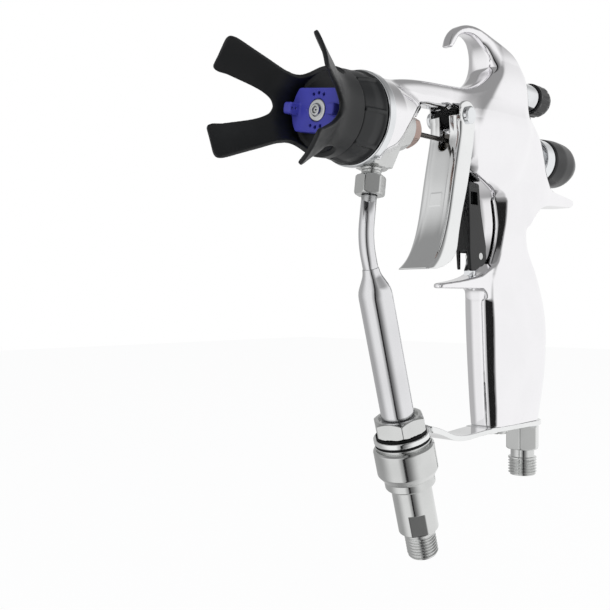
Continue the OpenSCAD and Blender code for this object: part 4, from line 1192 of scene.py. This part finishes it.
turned("air_nipple_thread", [
    [0, 5, 0.1], [0, 5.75, 0.2], [0.91, 6.58, 0.2], [8.6, 6.58, 0.3], [8.6, 5.5, 0.2],
    [12.35, 5.5, 0], [12.35, 3.6, 0], [1.4, 3.6, 0]],
       ORIGIN, Z, "stainless", "gun", None, sides=144, fine=0.12,
       radius=nipple_radius, slot="stainless")

hexagon_nut("air_nipple_hexagon", ORIGIN, Z,
            [[12.3, 0], [12.3, 7.2], [13.1, 8.1], [22.7, 8.1], [23.5, 7.2], [23.5, 5.5],
             [37, 5.5], [37, 0]], 14, 20 + 30, 3.6, 0.3, "stainless", "gun",
            "air_nipple", (0.5, 0.3), None)

turned("inlet_washer_disc", [[23.5, 5.55, 0], [23.5, 7.4, 0.15], [24.1, 7.4, 0.15],
                             [24.1, 5.55, 0]],
       ORIGIN, Z, "collar_chrome", "gun", "inlet_washer", sides=96)


def bracket_field():
    """Pressed strip: a plate under the grip, a neck that dips and climbs, and a ring."""
    plan = outline_field(np.concatenate([arc(0, 0, 8.6, -90, 90, 30),
                                         [[-26, 7.4], [-38, 6.4], [-38, -6.4], [-26, -7.4]]]),
                         0.3)
    neck = outline_field(np.concatenate([
        through([[-34, 26.3], [-46, 26], [-56, 25.6], [-66, 26.8], [-76, 30.2],
                 [-86, 32.8]], 60),
        through([[-86, 30.2], [-76, 27.7], [-66, 24.4], [-56, 23.3], [-46, 23.8],
                 [-34, 24.1]], 60)]), 0.3)
    sides = outline_field(np.concatenate([
        through([[-34, 6.6], [-46, 6.2], [-58, 6], [-70, 6.6], [-86, 8.4]], 40),
        through([[-86, -8.4], [-70, -6.6], [-58, -6], [-46, -6.2], [-34, -6.6]], 40)]), 0.3)
    up = seen_from(FILTER_FOOT, FILTER_UP)

    def field(x, y, z):
        s, p, q = up(x, y, z)
        r = np.hypot(p, q)
        plate = common(plan(x, y), np.abs(z - 25.2) - 1.1, 0.5)
        strip = common(neck(x, z), sides(x, y), 0.6)
        clear = np.maximum(r - 12.6, np.maximum(47.5 - s, s - 53.5))
        above = np.maximum(r - 12.6, np.maximum(55.8 - s, s - 61.8))
        strip = cut(cut(strip, clear, 0.1), above, 0.1)
        ring = common(r - 11.3, np.abs(s - 54.65) - 1.15, 0.5)
        f = join(join(plate, strip, 1.0), ring, 1.2)
        f = common(f, -np.maximum(r - 7.7, np.abs(s - 54.65) - 2), 0.2)
        f = cut(f, np.hypot(x, y) - 5.6, 0.2)
        return cut(f, np.hypot(x + 22, y) - 2.1, 0.2)
    return field


skinned("bracket_strip", bracket_field(), (0.8, 0.42), "trigger_chrome", "gun",
        "bracket")

# ---- Rear collars and knobs --------------------------------------------------------------

turned("spring_housing_collar", [
    [0, 1.4, 0], [0, 8.95, 0.3], [5, 8.95, 0], [5, 10.6, 0.4], [12.4, 10.6, 0.9],
    [12.4, 8, 0.1], [29, 8, 0.5], [29, 5.4, 0], [8, 5.4, 0], [8, 1.4, 0]],
       AXIS, X, "collar_chrome", "gun", "spring_housing", sides=128)

turned("fluid_knob_cap", [
    [12.8, 8.06, 0.1], [12.8, 10.6, 0.5], [14, 11.1, 1.5], [22, 11.6, 20], [31, 11.1, 12],
    [38.6, 7.8, 7], [41.2, 3.6, 3], [41.2, 0, 0], [39.4, 0, 0], [39.4, 5, 0.2], [32, 5, 0],
    [32, 5.6, 0], [29.8, 5.6, 0], [29.8, 8.06, 0]],
       AXIS, X, "knob_black", "fluid_knob", "fluid_knob", sides=160)

turned("pattern_collar_body", [
    [-20, 1.56, 0], [-20, 5.1, 0.2], [-14, 5.1, 0], [-14, 6.6, 0.5], [3.4, 6.6, 0.9],
    [3.4, 4.6, 0.1], [9, 4.6, 0.3], [9, 1.56, 0], [-11, 1.56, 0], [-11, 3, 0], [-17, 3, 0],
    [-17, 1.56, 0]], PATTERN_AXIS, X, "collar_chrome", "gun",
       "pattern_collar", sides=96)


def knurl(s, r, t):
    """Twelve shallow flutes along the pattern knob's side."""
    off = (np.degrees(t) + 15) % 30 - 15
    flute = np.sqrt(np.maximum(1.3**2 - (off / 57.3 * 7.5)**2, 0)) - 0.9
    along = np.clip((s - 5.2) / 0.6, 0, 1) * np.clip((14.6 - s) / 0.8, 0, 1)
    return np.where(r > 6.2, r - np.maximum(flute, 0) * along, r)


turned("pattern_knob_cap", [
    [3.8, 4.66, 0.1], [3.8, 7.2, 0.3], [4.4, 7.5, 0.3], [12.4, 7.5, 2.4], [15.4, 6.3, 2],
    [16.6, 3, 1.4], [16.6, 0, 0], [14.4, 0, 0], [14.4, 3.4, 0], [9.4, 3.4, 0],
    [9.4, 4.66, 0]], PATTERN_AXIS, X, "knob_black", "pattern_knob",
       "pattern_knob", sides=240, fine=0.5, radius=knurl, across=Y)

# ---- Pivot and safety lever --------------------------------------------------------------

turned("pivot_sleeve_black", [[-5.5, 2.45, 0], [-5.5, 4.4, 0.3], [5.5, 4.4, 0.3],
                              [5.5, 2.45, 0]],
       PIVOT, Y, "seal_black", "gun", None, sides=72, slot="seal_black")

turned("pivot_screw_head", [
    [-7.2, 0, 0], [-7.2, 2.4, 0.2], [8.5, 2.4, 0], [8.5, 3.7, 0.2], [9.9, 3.7, 0.3],
    [10.5, 3, 0.25], [10.5, 0, 0]], PIVOT, -Y, "collar_chrome",
       "gun", "pivot_screw", sides=72)

turned("pivot_nut_head", [[8.5, 0, 0], [8.5, 3.7, 0.3], [10.2, 3.7, 0.6], [10.2, 0, 0]],
       PIVOT, Y, "collar_chrome", "gun", "pivot_nut", sides=72)


def lever_field():
    """Lever of two cheeks and a web, from a side outline with softly rounded edges.

    A window opens its near cheek, and the far cheek is cut away round the post.
    """
    side = outline_field(np.concatenate([
        through([[-50.6, 96.4], [-51.4, 104], [-51.6, 112], [-52, 122], [-52.4, 131.6]], 40),
        arc(-50.4, 132, 2, 180, 90, 8), arc(-45.2, 132, 1.6, 90, 10, 8),
        through([[-43.6, 131.4], [-42.6, 124], [-40.4, 115], [-38, 106.4]], 40),
        arc(*LEVER_PIN[[0, 2]], 4.6, 20, -90, 14), [[-46.4, 95.6], [-49.6, 95.4]]]), 0.25)
    hollow = outline_field([[-49.8, 90], [-50, 112], [-50.4, 122.6], [-30, 122.6],
                            [-30, 90]], 0.3)
    window = outline_field([[-50.4, 124.2], [-45, 124.2], [-45.6, 129.6], [-50.4, 129.6]], 0.2)
    pin = rod(LEVER_PIN, Y, 1.56)

    def field(x, y, z):
        f = slab(side(x, z), y, 3.6, 0.7)
        f = cut(f, np.maximum(hollow(x, z), np.abs(y) - 2.4), 0.3)
        f = cut(f, np.maximum(np.abs(y) - 1.9, np.maximum(z - 104, x + 48)), 0.3)
        f = cut(f, np.maximum(window(x, z), y + 1), 0.3)
        beyond = np.maximum(-1.9 - y, np.abs(z - 99) - 4.4)
        f = cut(f, np.maximum(beyond, np.abs(x + 46.8) - 3.2), 0.3)
        return cut(f, pin(x, y, z), 0.2)
    return field


skinned("safety_lever_shell", lever_field(), (0.6, 0.3), "lever_black", "safety_lever",
        "safety_lever")
